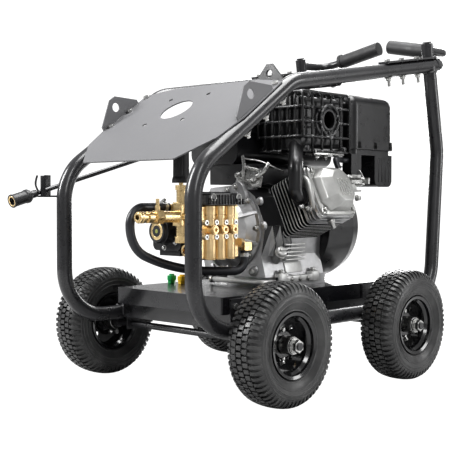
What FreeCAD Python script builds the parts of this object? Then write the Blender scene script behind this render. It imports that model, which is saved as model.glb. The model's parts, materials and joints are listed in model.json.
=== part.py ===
import FreeCAD, Part
import math
import os

# Petrol engine driven triplex pump pressure washer on a four wheel roll cage cart.
# All lengths are millimetres. Modelling frame: ground at Z = 0, wheels symmetric about
# X = 0 and Y = 0, pump end towards -Y, handle end towards +Y, engine cylinder towards +X.

# ---------------------------------------------------------------- driving dimensions
ORIGIN_SHIFT_Y = -29.5      # moves the finished part so the frame sits mid-length
WHEEL_X = 290.3             # wheel centre plane from the middle
WHEEL_Y = 226.1             # axle position from the middle
WHEEL_R = 132.5             # tyre radius
TYRE_HALF_W = 45.0
HUB_R = 17.5
AXLE_R = 8.0
RUN_FIT = 0.05              # radial clearance of a turning or sliding fit
BARB_GAP = 0.2              # radial gap between a hose bore and its barb
TUBE_R = 17.5               # cage tube outside radius
TUBE_WALL = 2.5
HOOP_X = 214.0              # centre plane of a side hoop
RAIL_Z = 160.0              # bottom rail centre height
FRONT_Y = -408.0            # front leg centre
FRONT_KNEE_Z = 490.0
CROWN_Y = -107.0
CROWN_Z = 695.0
TOP_SLOPE = math.radians(9.07)
BOW_Y = 541.0               # rear cross bow centre
BEND_R = 112.0
BOW_BEND_R = 70.0
SLANT = math.atan2(CROWN_Z - FRONT_KNEE_Z, CROWN_Y - FRONT_Y)
TRAY_TOP_Z = 226.0
TRAY_HALF_X = 175.0
TRAY_HALF_Y = 285.0
TRAY_DEPTH = 38.0
SHEET = 3.0
CRANK_X = -15.0             # engine and pump shaft line
CRANK_Z = 363.0
CYL_Y = 80.0                # engine cylinder centre plane
CYL_TILT = math.radians(25.0)
PLUNGER_Y = (-234.0, -203.0, -172.0)
PLUNGER_R = 9.0
MANIFOLD_X0 = 52.0
OUTLET_X = 45.0
OUTLET_Y = -282.0
OUTLET_Z = 396.0
LANCE_X = -262.0
LANCE_SLOPE = math.atan2(110.0, 393.0)
LANCE_TIP = (-517.0, 430.0)
PANEL_BOLT_X = 212.0        # front panel screws, one row over each side tube
PANEL_BOLT_V = (112.0, 183.0, 250.0)
NOZZLE_R = 6.0              # plug of a quick-connect spray tip
EYE_R = 10.0                # lifting eye hole
EAR_HOLE_R = 11.0           # tie-down ear hole
CAP_Z = 367.0               # valve cap row
CAP_R = 10.5
SHAFT_R = 12.0
COUPLER_R = 9.5
OUTLET_BORE_R = 6.0
HOSE_R = 10.0
HOSE_IN_R = 6.5
HOSE_END = (79.0, -112.0)
BARREL_END = 172.0          # length of the engine cylinder from the crank line
EXHAUST = (150.0, 440.0)    # exhaust port on the front face of the cylinder head
EXHAUST_R = 17.0
BREATHER = (132.0, 532.0)   # breather hose on the front of the air cleaner
BREATHER_R = 4.0
TANK_Z0 = 520.0
PIVOT_AT = 55.0             # handle pivot position along the top rail
PIVOT_R = 6.0
TRIGGER_AT = 880.0          # trigger pivot along the lance line
TRIGGER_DROP = 13.0

V = FreeCAD.Vector
X_AXIS = V(1, 0, 0)
Y_AXIS = V(0, 1, 0)
Z_AXIS = V(0, 0, 1)


# ---------------------------------------------------------------- small helpers
def box(x0, x1, y0, y1, z0, z1):
    return Part.makeBox(x1 - x0, y1 - y0, z1 - z0, V(x0, y0, z0))


def rounded_box(x0, x1, y0, y1, z0, z1, radius, axis):
    body = box(x0, x1, y0, y1, z0, z1)
    keep = []
    for edge in body.Edges:
        along = edge.Vertexes[1].Point.sub(edge.Vertexes[0].Point)
        along.normalize()
        if abs(along.dot(axis)) > 0.9:
            keep.append(edge)
    return body.makeFillet(radius, keep)


def cyl(base, direction, radius, length):
    return Part.makeCylinder(radius, length, V(*base), direction)


def cone(base, direction, r0, r1, length):
    return Part.makeCone(r0, r1, length, V(*base), direction)


def ring(base, direction, r_out, r_in, length):
    return cyl(base, direction, r_out, length).cut(cyl(base, direction, r_in, length))


def hexagon(base, direction, flats, length):
    corner = flats / math.sqrt(3.0)
    points = []
    for i in range(7):
        angle = math.radians(60.0 * i)
        points.append(V(corner * math.cos(angle), corner * math.sin(angle), 0))
    prism = Part.Face(Part.makePolygon(points)).extrude(V(0, 0, length))
    prism.Placement = FreeCAD.Placement(V(*base), FreeCAD.Rotation(Z_AXIS, direction))
    return prism


def revolve(profile, base, direction):
    # profile is a list of (radius, distance along direction) corners
    points = [V(r, 0, h) for r, h in profile]
    points.append(points[0])
    solid = Part.Face(Part.makePolygon(points)).revolve(V(0, 0, 0), Z_AXIS, 360)
    solid.Placement = FreeCAD.Placement(V(*base), FreeCAD.Rotation(Z_AXIS, direction))
    return solid


def prism_x(points_yz, x0, x1):
    # extrudes a (Y, Z) outline along X
    points = [V(x0, y, z) for y, z in points_yz]
    points.append(points[0])
    return Part.Face(Part.makePolygon(points)).extrude(V(x1 - x0, 0, 0))


def prism_y(points_xz, y0, y1):
    # extrudes an (X, Z) outline along Y
    points = [V(x, y0, z) for x, z in points_xz]
    points.append(points[0])
    return Part.Face(Part.makePolygon(points)).extrude(V(0, y1 - y0, 0))


def fuse(shapes):
    body = shapes[0]
    for shape in shapes[1:]:
        body = body.fuse(shape)
    return body.removeSplitter()


def mirror_x(shape):
    return shape.mirror(V(0, 0, 0), X_AXIS)


def bent_wire(corners, radii):
    # straight runs through the corners, joined by tangent arcs
    edges = []
    start = corners[0]
    for i in range(1, len(corners) - 1):
        to_prev = corners[i - 1].sub(corners[i])
        to_next = corners[i + 1].sub(corners[i])
        to_prev.normalize()
        to_next.normalize()
        half = to_prev.getAngle(to_next) / 2.0
        reach = radii[i - 1] / math.tan(half)
        first = corners[i].add(V(to_prev).multiply(reach))
        last = corners[i].add(V(to_next).multiply(reach))
        inward = to_prev.add(to_next)
        inward.normalize()
        centre = corners[i].add(V(inward).multiply(radii[i - 1] / math.sin(half)))
        middle = centre.sub(V(inward).multiply(radii[i - 1]))
        if start.distanceToPoint(first) > 0.01:
            edges.append(Part.LineSegment(start, first).toShape())
        edges.append(Part.Arc(first, middle, last).toShape())
        start = last
    edges.append(Part.LineSegment(start, corners[-1]).toShape())
    return Part.Wire(edges)


def swept_bar(corners, radii, radius):
    path = bent_wire(corners, radii)
    along = corners[1].sub(corners[0])
    circle = Part.Wire([Part.makeCircle(radius, corners[0], along)])
    return path.makePipeShell([circle], True, False)


def tube(corners, radii, radius, wall):
    return swept_bar(corners, radii, radius).cut(swept_bar(corners, radii, radius - wall))


def save(node, shapes):
    if not isinstance(shapes, list):
        shapes = [shapes]
    solids = []
    for shape in shapes:
        solids.extend(shape.Solids)
    group = solids[0] if len(solids) == 1 else Part.makeCompound(solids)
    group = group.copy()
    group.translate(V(0, ORIGIN_SHIFT_Y, 0))
    group.exportStep("parts/" + node + ".step")


# ---------------------------------------------------------------- cage geometry
def top_z(y):
    # centre height of the rising top rail
    return CROWN_Z + (y - CROWN_Y) * math.tan(TOP_SLOPE)


def top_point(x, distance, height):
    # distance runs up the top rail from Y = 398, height is normal to it
    y0 = 398.0
    y = y0 + distance * math.cos(TOP_SLOPE) - height * math.sin(TOP_SLOPE)
    z = top_z(y0) + distance * math.sin(TOP_SLOPE) + height * math.cos(TOP_SLOPE)
    return V(x, y, z)


def slant_point(x, distance, height):
    # distance runs up the slanted front run from Y = -352, height is normal to it
    z0 = FRONT_KNEE_Z + (-352.0 - FRONT_Y) * math.tan(SLANT)
    y = -352.0 + distance * math.cos(SLANT) - height * math.sin(SLANT)
    z = z0 + distance * math.sin(SLANT) + height * math.cos(SLANT)
    return V(x, y, z)


def hoop_corners(x):
    rail_end = BOW_Y - BOW_BEND_R * math.cos(TOP_SLOPE)
    return [
        V(x, 477.0, 325.0),
        V(x, 464.1, RAIL_Z),
        V(x, FRONT_Y, RAIL_Z),
        V(x, FRONT_Y, FRONT_KNEE_Z),
        V(x, CROWN_Y, CROWN_Z),
        V(x, rail_end, top_z(rail_end)),
    ]


def upright_corners(x):
    return [V(x, 477.0, 325.0), V(x, 495.4, 560.0), V(x, 453.5, 788.0)]


def hoop_bar(x, radius):
    return swept_bar(hoop_corners(x), [BEND_R, BEND_R, BEND_R, BEND_R], radius)


def upright_bar(x, radius):
    return swept_bar(upright_corners(x), [BEND_R], radius)


def side_tube(x):
    # closed hoop: the rear upright is coped and welded under the top rail
    inner = TUBE_R - TUBE_WALL
    along = V(0, math.cos(TOP_SLOPE), math.sin(TOP_SLOPE))
    rail = Part.makeCylinder(TUBE_R, 480.0, V(x, 20.0, top_z(20.0)), along)
    upright = upright_bar(x, TUBE_R).cut(rail)
    upright = max(upright.Solids, key=lambda solid: solid.Volume)
    outer = hoop_bar(x, TUBE_R).fuse(upright)
    return outer.cut(hoop_bar(x, inner)).cut(upright_bar(x, inner))


def lance_z(y):
    return LANCE_TIP[1] + (y - LANCE_TIP[0]) * math.tan(LANCE_SLOPE)


def front_cradle():
    # two pronged hook plate on the outside of the left front leg
    shelf = 443.4
    plate = box(LANCE_X - 4.0, -HOOP_X - 13.0, -420.0, -396.0, shelf - 4.0, shelf)
    plate = plate.fuse(box(LANCE_X - 14.0, LANCE_X + 14.0, -447.0, -396.0, shelf - 4.0, shelf))
    front_prong = box(LANCE_X + 10.0, LANCE_X + 14.0, -447.0, -435.0, shelf, 489.0)
    rear_prong = box(LANCE_X - 14.0, LANCE_X - 10.0, -420.0, -404.0, shelf, 491.0)
    return fuse([plate, front_prong, rear_prong])


def rear_cradle():
    # hanger under the left top rail that carries the gun end of the wand
    y0 = 150.0
    z0 = lance_z(y0)
    drop = box(-HOOP_X - 3.0, -HOOP_X + 3.0, y0 - 12.0, y0 + 12.0, z0 - 13.6, top_z(y0))
    shelf = box(LANCE_X - 16.0, -HOOP_X + 3.0, y0 - 12.0, y0 + 12.0, z0 - 13.6, z0 - 9.6)
    lip = box(LANCE_X - 16.0, LANCE_X - 12.0, y0 - 12.0, y0 + 12.0, z0 - 10.0, z0 + 16.0)
    return fuse([drop, shelf, lip])


def left_side_tube():
    core = hoop_bar(-HOOP_X, TUBE_R - 0.5)
    front = front_cradle().cut(core)
    rear = rear_cradle().cut(core)
    front = max(front.Solids, key=lambda solid: solid.Volume)
    rear = max(rear.Solids, key=lambda solid: solid.Volume)
    return side_tube(-HOOP_X).fuse(front).fuse(rear)


def rear_bow():
    rail_end = BOW_Y - BOW_BEND_R * math.cos(TOP_SLOPE)
    corners = [
        V(HOOP_X, rail_end, top_z(rail_end)),
        V(HOOP_X, BOW_Y, top_z(BOW_Y)),
        V(-HOOP_X, BOW_Y, top_z(BOW_Y)),
        V(-HOOP_X, rail_end, top_z(rail_end)),
    ]
    return tube(corners, [BOW_BEND_R - 0.5, BOW_BEND_R - 0.5], TUBE_R, TUBE_WALL)


def lifting_bar():
    y0 = 65.0
    z0 = top_z(y0) - 8.0
    radius = 15.0
    bar = ring((-HOOP_X, y0, z0), X_AXIS, radius, radius - 2.5, 2.0 * HOOP_X)
    for x in (-HOOP_X, HOOP_X):
        bar = bar.cut(hoop_bar(x, TUBE_R))
    bar = max(bar.Solids, key=lambda solid: solid.Volume)
    outline = [(-44.0, z0 + 12.0), (44.0, z0 + 12.0), (44.0, z0 + 18.0), (9.0, z0 + 57.0),
               (-9.0, z0 + 57.0), (-44.0, z0 + 18.0)]
    ear = prism_y(outline, y0 - 3.0, y0 + 3.0)
    ear = ear.cut(cyl((0, y0 - 5.0, z0 + 33.0), Y_AXIS, EYE_R, 10.0))
    ear = ear.cut(cyl((-HOOP_X, y0, z0), X_AXIS, radius - 1.0, 2.0 * HOOP_X))
    return bar.fuse(ear)


def base_tray():
    z0 = TRAY_TOP_Z - TRAY_DEPTH
    outer = rounded_box(-TRAY_HALF_X, TRAY_HALF_X, -TRAY_HALF_Y, TRAY_HALF_Y, z0,
                        TRAY_TOP_Z, 6.0, Z_AXIS)
    inner = box(-TRAY_HALF_X + SHEET, TRAY_HALF_X - SHEET, -TRAY_HALF_Y + SHEET,
                TRAY_HALF_Y - SHEET, z0 - 1.0, TRAY_TOP_Z - SHEET)
    tray = outer.cut(inner)
    for x, y in engine_bolt_places():
        tray = tray.cut(cyl((x, y, TRAY_TOP_Z - 10.0), Z_AXIS, 5.5, 20.0))
    for x, y in spray_tip_places():
        tray = tray.cut(cyl((x, y, TRAY_TOP_Z - 10.0), Z_AXIS, 7.0, 20.0))
    for x in (-1, 1):
        for y in bracket_bolt_places():
            tray = tray.cut(cyl((x * (TRAY_HALF_X - 8.0), y, 205.0), V(x, 0, 0), 4.5, 16.0))
    return tray


def engine_bolt_places():
    return [(-82.0, 40.0), (-82.0, 136.0), (82.0, 40.0), (82.0, 136.0)]


def spray_tip_places():
    return [(-158.0, -123.0), (-123.0, -121.0)]


def bracket_bolt_places():
    return [-251.0, 251.0]


def cross_channel(y0):
    # welded member below the tray, with tray brackets and axle lugs
    channel = box(-205.0, 205.0, y0 - 20.0, y0 + 20.0, 150.5, 187.9)
    channel = channel.cut(box(-206.0, 206.0, y0 - 17.0, y0 + 17.0, 149.0, 184.9))
    parts = [channel]
    outward = -1.0 if y0 < 0 else 1.0
    for side in (-1, 1):
        face = side * (TRAY_HALF_X + 0.1)
        x0, x1 = sorted((face, face + side * 4.0))
        y_low, y_high = sorted((y0 - outward * 14.0, y0 + outward * 38.0))
        parts.append(box(x0, x1, y_low, y_high, 160.0, 221.0))
        x0, x1 = sorted((side * 184.0, side * 190.0))
        lug = box(x0, x1, y0 - 17.5, y0 + 17.5, 120.0, 152.0)
        parts.append(lug)
    member = fuse(parts)
    member = member.cut(cyl((-250.0, y0, WHEEL_R), X_AXIS, AXLE_R, 500.0))
    for x in (-HOOP_X, HOOP_X):
        member = member.cut(hoop_bar(x, TUBE_R))
    for side in (-1, 1):
        for y in bracket_bolt_places():
            member = member.cut(cyl((side * 170.0, y, 205.0), V(side, 0, 0), 4.5, 20.0))
    return max(member.Solids, key=lambda solid: solid.Volume)


def front_panel():
    outline = [(-150, -48), (150, -48), (212, 30), (226, 110), (223, 262), (136, 283),
               (-136, 283), (-223, 262), (-226, 110), (-212, 30)]
    low = [slant_point(u, v, TUBE_R + 0.02) for u, v in outline]
    low.append(low[0])
    normal = slant_point(0, 0, 1).sub(slant_point(0, 0, 0))
    plate = Part.Face(Part.makePolygon(low)).extrude(V(normal).multiply(SHEET))
    centre = slant_point(-35.0, 172.0, TUBE_R - 5.0)
    plate = plate.cut(Part.makeCylinder(41.0, 20.0, centre, normal))
    for i in range(4):
        angle = math.radians(51.5 + 90.0 * i)
        spot = slant_point(-35.0 + 82.0 * math.cos(angle), 172.0 + 82.0 * math.sin(angle), 10.0)
        plate = plate.cut(Part.makeCylinder(6.0, 20.0, spot, normal))
    for x in (-PANEL_BOLT_X, PANEL_BOLT_X):
        for v in PANEL_BOLT_V:
            spot = slant_point(x, v, 10.0)
            plate = plate.cut(Part.makeCylinder(4.2, 20.0, spot, normal))
    ears = []
    for side in (-1, 1):
        base = TUBE_R + 0.5
        outline = [(94, base), (226, base), (226, 30), (170, 72), (150, 72), (94, 30)]
        x0 = side * 223.0
        points = [slant_point(x0, v, h) for v, h in outline]
        points.append(points[0])
        ear = Part.Face(Part.makePolygon(points)).extrude(V(-side * SHEET, 0, 0))
        spot = slant_point(side * 230.0, 158.0, 48.0)
        ears.append(ear.cut(Part.makeCylinder(EAR_HOLE_R, 20.0, spot, V(-side, 0, 0))))
    return fuse([plate] + ears)


# ---------------------------------------------------------------- fasteners
def socket_bolt_places():
    places = []
    for y in (-249.5, -218.5, -187.5, -156.5):
        for z in (383.0, 351.0):
            places.append((y, z))
    return places


def hex_bolt(base, direction, radius, length, flats, head):
    # base is the underside of the head, direction points from the head into the joint
    shank = Part.makeCylinder(radius, length, base, direction)
    back = V(direction).multiply(-head)
    top = base.add(back)
    head_body = hexagon((top.x, top.y, top.z), direction, flats, head)
    return shank.fuse(head_body)


def frame_bolts():
    bolts = []
    normal = slant_point(0, 0, 1).sub(slant_point(0, 0, 0))
    into = V(normal).multiply(-1.0)
    for x in (-PANEL_BOLT_X, PANEL_BOLT_X):
        for v in PANEL_BOLT_V:
            seat = slant_point(x, v, TUBE_R + SHEET + 0.04)
            bolts.append(hex_bolt(seat, into, 4.0, 52.0, 13.0, 5.5))
    for side in (-1, 1):
        for y in (-251.0, 251.0):
            seat = V(side * (TRAY_HALF_X + 4.2), y, 205.0)
            bolts.append(hex_bolt(seat, V(-side, 0, 0), 4.0, 16.0, 13.0, 5.5))
    for x, y in engine_bolt_places():
        seat = V(x, y, TRAY_TOP_Z + 24.1)
        bolts.append(hex_bolt(seat, V(0, 0, -1), 5.0, 40.0, 16.0, 7.0))
    rail_normal = top_point(0, 0, 1).sub(top_point(0, 0, 0))
    for x in (-HOOP_X, HOOP_X):
        for distance in (-132.7, -69.9, 0.0):
            seat = top_point(x, distance, TUBE_R + 5.1)
            bolts.append(hex_bolt(seat, V(rail_normal).multiply(-1.0), 4.0, 62.0, 13.0, 5.5))
    return bolts


def pump_bolts():
    bolts = []
    for y, z in socket_bolt_places():
        shank = cyl((70.0, y, z), X_AXIS, 3.0, 17.0)
        head = cyl((86.1, y, z), X_AXIS, 6.0, 8.0)
        recess = hexagon((91.0, y, z), X_AXIS, 5.0, 4.0)
        bolts.append(shank.fuse(head).cut(recess))
    return bolts


def wheel_places():
    return {
        "front_left": (-1, -WHEEL_Y),
        "front_right": (1, -WHEEL_Y),
        "rear_left": (-1, WHEEL_Y),
        "rear_right": (1, WHEEL_Y),
    }


def axle(y):
    rod = cyl((-342.0, y, WHEEL_R), X_AXIS, AXLE_R, 684.0)
    for side in (-1, 1):
        rod = rod.fuse(cyl((side * 234.0, y, WHEEL_R), V(side, 0, 0), 12.5, 11.5))
    return rod


def axle_nuts():
    nuts = []
    for side, y in wheel_places().values():
        out = V(side, 0, 0)
        washer = ring((side * 326.6, y, WHEEL_R), out, 15.0, AXLE_R, 2.3)
        nut = hexagon((side * 328.9, y, WHEEL_R), out, 24.0, 10.0)
        nut = nut.cut(cyl((side * 328.0, y, WHEEL_R), out, AXLE_R, 20.0))
        nuts.append(washer)
        nuts.append(nut)
    return nuts


def tyre(side, y):
    outer = [(66.3, -30), (72, -34), (84, -42), (96, -TYRE_HALF_W), (108, -44), (120, -40),
             (128, -35.5), (131, -30), (WHEEL_R, -18), (WHEEL_R, 18), (131, 30), (128, 35.5),
             (120, 40), (108, 44), (96, TYRE_HALF_W), (84, 42), (72, 34), (66.3, 30)]
    inner = [(66.3, 24), (75, 28), (86, 34), (97, 36.5), (108, 35), (116, 29), (119, 18),
             (119, -18), (116, -29), (108, -35), (97, -36.5), (86, -34), (75, -28),
             (66.3, -24)]
    body = revolve(outer + inner, (side * WHEEL_X, y, WHEEL_R), V(side, 0, 0))
    for groove in (-12.0, 12.0):
        base = (side * WHEEL_X + groove - 1.5, y, WHEEL_R)
        body = body.cut(ring(base, X_AXIS, WHEEL_R + 1.0, WHEEL_R - 4.0, 3.0))
    return body


def rim(side, y):
    # barrel with two bead flanges, dished centre disc and hub tube on the axle
    bore = AXLE_R + RUN_FIT
    barrel = [(57, -22), (62.5, -28), (62.5, -35.5), (69.5, -37.5), (69.5, -35.0),
              (66.3, -33.5), (66.3, 33.5), (69.5, 35.0), (69.5, 37.5), (62.5, 35.5),
              (62.5, 28), (57, 22)]
    disc = [(HUB_R - 2, 2), (26, 2), (36, -6), (57.5, -6), (57.5, -2), (38, -2), (28, 6),
            (HUB_R - 2, 6)]
    hub = [(bore, -44.5), (HUB_R, -44.5), (HUB_R, 36.0), (bore, 36.0)]
    place = (side * WHEEL_X, y, WHEEL_R)
    out = V(side, 0, 0)
    body = fuse([revolve(barrel, place, out), revolve(disc, place, out)])
    for i in range(4):
        angle = math.radians(45.0 + 90.0 * i)
        y_hole = y + 45.0 * math.cos(angle)
        z_hole = WHEEL_R + 45.0 * math.sin(angle)
        start = (side * (WHEEL_X - 20.0), y_hole, z_hole)
        body = body.cut(cyl(start, out, 6.0, 40.0))
    return body.fuse(revolve(hub, place, out))


# ---------------------------------------------------------------- swing-out handles
def pivot_plate(x):
    # plate bolted on top of the rail with the handle's fixed pin standing on it
    corners = []
    for u, v in [(-15, -150), (15, -150), (15, 73), (-15, 73)]:
        corners.append(top_point(x + u, v, TUBE_R + 0.02))
    corners.append(corners[0])
    normal = top_point(0, 0, 1).sub(top_point(0, 0, 0))
    plate = Part.Face(Part.makePolygon(corners)).extrude(V(normal).multiply(5.0))
    pin = Part.makeCylinder(PIVOT_R, 39.0, top_point(x, PIVOT_AT, TUBE_R + 4.0), normal)
    head = Part.makeCylinder(11.0, 4.0, top_point(x, PIVOT_AT, TUBE_R + 40.4), normal)
    body = fuse([plate, pin, head])
    for distance in (-132.7, -69.9, 0.0):
        spot = top_point(x, distance, TUBE_R - 2.0)
        body = body.cut(Part.makeCylinder(4.0, 20.0, spot, normal))
    return body


def handle_corners():
    start = top_point(HOOP_X, PIVOT_AT, TUBE_R + 22.5)
    return [start, V(208.0, 553.0, 827.0), V(24.0, 560.0, 865.0)]


def handle(side):
    normal = top_point(0, 0, 1).sub(top_point(0, 0, 0))
    low = top_point(HOOP_X, PIVOT_AT, TUBE_R + 5.4)
    knuckle = Part.makeCylinder(15.0, 34.6, low, normal)
    bar = swept_bar(handle_corners(), [40.0], 11.0)
    body = fuse([bar, knuckle])
    hole = Part.makeCylinder(PIVOT_R + RUN_FIT, 80.0, top_point(HOOP_X, PIVOT_AT, 0.0), normal)
    body = body.cut(hole)
    return body if side > 0 else mirror_x(body)


def grip(side):
    corners = handle_corners()
    along = corners[2].sub(corners[1])
    along.normalize()
    start = corners[1].add(V(along).multiply(58.0))
    length = corners[2].distanceToPoint(start) + 5.0
    body = Part.makeCylinder(19.0, length, start, along)
    body = body.fuse(Part.makeCylinder(22.5, 7.0, start, along))
    body = body.cut(swept_bar(corners, [40.0], 11.0))
    body = max(body.Solids, key=lambda solid: solid.Volume)
    return body if side > 0 else mirror_x(body)


# ---------------------------------------------------------------- spray wand
def lance_point(distance, drop):
    # distance runs from the tip up the lance, drop is normal to it and downwards
    y = LANCE_TIP[0] + distance * math.cos(LANCE_SLOPE) + drop * math.sin(LANCE_SLOPE)
    z = LANCE_TIP[1] + distance * math.sin(LANCE_SLOPE) - drop * math.cos(LANCE_SLOPE)
    return V(LANCE_X, y, z)


def lance_direction():
    return V(0, math.cos(LANCE_SLOPE), math.sin(LANCE_SLOPE))


def lance():
    along = lance_direction()
    rod = Part.makeCylinder(5.5, 720.0, lance_point(62.0, 0), along)
    socket = Part.makeCylinder(9.0, 62.0, lance_point(4.0, 0), along)
    bore = Part.makeCylinder(NOZZLE_R + RUN_FIT, 30.0, lance_point(0.0, 0), along)
    return rod.fuse(socket).cut(bore)


def lance_collar():
    # knurled sleeve sliding on the socket of the nozzle coupler
    along = lance_direction()
    outer = [(14.5, 0), (14.5, 34), (16, 38), (16, 44), (12.5, 50), (9 + RUN_FIT, 50),
             (9 + RUN_FIT, 0)]
    start = lance_point(0.0, 0)
    sleeve = revolve(outer, (start.x, start.y, start.z), along)
    return sleeve


def gun_block(points, half_width):
    corners = [lance_point(distance, drop) for distance, drop in points]
    corners = [V(LANCE_X - half_width, p.y, p.z) for p in corners]
    corners.append(corners[0])
    return Part.Face(Part.makePolygon(corners)).extrude(V(2.0 * half_width, 0, 0))


def gun():
    barrel = gun_block([(770, -16), (930, -18), (955, -8), (955, 16), (905, 22), (790, 20),
                        (770, 14)], 14.5)
    grip_part = gun_block([(905, 10), (955, 10), (985, 105), (940, 118)], 14.5)
    guard = gun_block([(838, 16), (846, 16), (858, 96), (944, 106), (944, 114), (850, 104)],
                      8.0)
    slot = gun_block([(864, 2), (926, 2), (926, 40), (864, 40)], 5.0)
    body = fuse([barrel, grip_part, guard]).cut(slot)
    bore = Part.makeCylinder(5.5, 20.0, lance_point(762.0, 0), lance_direction())
    return body.cut(bore).fuse(trigger_pin(2.5, 24.0))


def trigger_pin(radius, length):
    centre = lance_point(TRIGGER_AT, TRIGGER_DROP)
    return cyl((LANCE_X - length / 2.0, centre.y, centre.z), X_AXIS, radius, length)


def trigger():
    lever = gun_block([(874, 6), (886, 6), (893, 40), (906, 86), (898, 90), (884, 44)], 4.6)
    return lever.cut(trigger_pin(2.5 + RUN_FIT, 30.0))


def spray_tip(x, y):
    # quick-connect nozzle standing in its hole in the tray
    plug = cyl((x, y, TRAY_TOP_Z - 14.0), Z_AXIS, NOZZLE_R, 16.0)
    flats = hexagon((x, y, TRAY_TOP_Z + 0.3), Z_AXIS, 17.0, 8.0)
    shield = cyl((x, y, TRAY_TOP_Z + 8.0), Z_AXIS, 11.0, 11.0)
    nose = cyl((x, y, TRAY_TOP_Z + 19.0), Z_AXIS, 6.5, 4.0)
    orifice = cyl((x, y, TRAY_TOP_Z - 15.0), Z_AXIS, 2.0, 50.0)
    return fuse([plug, flats, shield, nose]).cut(orifice)


# ---------------------------------------------------------------- pump
def pump_crankcase():
    block = rounded_box(-62.0, 30.0, -270.0, -134.0, 318.0, 410.0, 14.0, Y_AXIS)
    guide = box(28.0, MANIFOLD_X0, -262.0, -142.0, 334.0, 398.0)
    cover = cyl((-17.0, -292.0, CRANK_Z), Y_AXIS, 31.0, 24.0)
    nose = cone((-17.0, -300.0, CRANK_Z), Y_AXIS, 25.0, 29.0, 8.5)
    flange = cyl((CRANK_X, -138.0, CRANK_Z), Y_AXIS, 62.0, 12.0)
    foot = box(-50.0, 18.0, -260.0, -236.0, 306.0, 320.0)
    body = fuse([block, guide, cover, nose, flange, foot])
    cavity = box(-50.0, 40.0, -258.0, -142.0, 328.0, 400.0)
    body = body.cut(cavity.common(box(-50.0, 27.0, -258.0, -142.0, 328.0, 400.0)))
    body = body.cut(box(20.0, 42.0, -254.0, -150.0, 342.0, 390.0))
    body = body.cut(cyl((CRANK_X, -268.3, CRANK_Z), Y_AXIS, SHAFT_R + RUN_FIT, 160.0))
    for y in PLUNGER_Y:
        body = body.cut(cyl((30.0, y, CRANK_Z), X_AXIS, PLUNGER_R + RUN_FIT, 30.0))
    body = body.cut(ring((-17.0, -300.5, CRANK_Z), Y_AXIS, 20.0, 17.0, 3.0))
    return body


def plunger(y):
    rod = cyl((11.0, y, CRANK_Z), X_AXIS, PLUNGER_R, 62.0)
    return rod.fuse(cyl((11.0, y, CRANK_Z), X_AXIS, 12.0, 5.0))


def pump_manifold():
    block = rounded_box(MANIFOLD_X0, 86.0, -264.0, -142.0, 300.0, 422.0, 5.0, Y_AXIS)
    parts = [block]
    for y in PLUNGER_Y:
        parts.append(cyl((86.0, y, 302.0), Z_AXIS, 14.0, 44.0))
        parts.append(cyl((86.0, y, 346.0), Z_AXIS, 12.0, 12.0))
        parts.append(cyl((86.0, y, 392.0), Z_AXIS, 14.0, 28.0))
        parts.append(cyl((86.0, y, 376.0), Z_AXIS, 12.0, 16.0))
    body = fuse(parts)
    for y in PLUNGER_Y:
        body = body.cut(ring((86.0, y, 398.0), Z_AXIS, 15.0, 12.8, 3.0))
        body = body.cut(cyl((50.0, y, CRANK_Z), X_AXIS, PLUNGER_R + 1.0, 31.0))
        body = body.cut(cyl((84.0, y, CAP_Z), X_AXIS, CAP_R, 30.0))
    for y, z in socket_bolt_places():
        body = body.cut(cyl((69.9, y, z), X_AXIS, 3.0, 30.0))
        body = body.cut(cyl((86.0, y, z), X_AXIS, 6.2, 30.0))
    return body


def valve_caps():
    caps = []
    for y in PLUNGER_Y:
        cap = cyl((84.1, y, CAP_Z), X_AXIS, CAP_R - 0.1, 20.0)
        cap = cap.fuse(cyl((104.0, y, CAP_Z), X_AXIS, 8.5, 3.0))
        caps.append(cap.cut(hexagon((101.0, y, CAP_Z), X_AXIS, 8.0, 8.0)))
    return caps


def pump_top_cover():
    body = rounded_box(44.0, 104.0, -259.0, -147.0, 422.1, 444.0, 7.0, Z_AXIS)
    parts = [body]
    for y in (-244.0, -162.0):
        parts.append(cyl((50.0, y, 439.0), X_AXIS, 10.0, 58.0))
    parts.append(box(58.0, 98.0, -232.0, -174.0, 443.0, 448.0))
    return fuse(parts)


def unloader():
    x, y = OUTLET_X, OUTLET_Y
    base = hexagon((x, y, 338.0), Z_AXIS, 24.0, 14.0)
    shank = cyl((x, y, 350.0), Z_AXIS, 11.5, 30.0)
    block = rounded_box(x - 14.0, x + 14.0, y - 14.0, y + 14.0, 376.0, 428.0, 3.0, Z_AXIS)
    neck = cyl((x, y, 426.0), Z_AXIS, 10.5, 30.0)
    nut = hexagon((x, y, 455.0), Z_AXIS, 23.0, 11.0)
    stem = cyl((x, y, 460.0), Z_AXIS, 5.0, 70.0)
    arm = cyl((x + 19.0, y, OUTLET_Z), Y_AXIS, 9.0, -264.0 - y)
    shoulder = cyl((x, y, OUTLET_Z), X_AXIS, 9.0, 19.0)
    elbow = fuse([cyl((x, y, 417.0), V(-1, 0, 0), 7.5, 31.0),
                  cyl((x - 31.0, y + 7.5, 417.0), V(0, -1, 0), 7.5, 18.0),
                  cyl((x - 31.0, y, 417.0), V(0, -1, 0), HOSE_IN_R - BARB_GAP, 32.0)])
    return fuse([base, shank, block, neck, nut, stem, arm, shoulder, elbow])


def unloader_knob():
    x, y = OUTLET_X, OUTLET_Y
    profile = [(5.0 + RUN_FIT, 0), (20.5, 0), (20.0, 8), (18.0, 14), (17.5, 68), (15.5, 74),
               (0, 74), (0, 60), (5.0 + RUN_FIT, 60)]
    knob = revolve(profile, (x, y, 471.0), Z_AXIS)
    for i in range(12):
        angle = math.radians(30.0 * i)
        groove = cyl((x + 20.5 * math.cos(angle), y + 20.5 * math.sin(angle), 487.0), Z_AXIS,
                     3.4, 60.0)
        knob = knob.cut(groove)
    return knob


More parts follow.
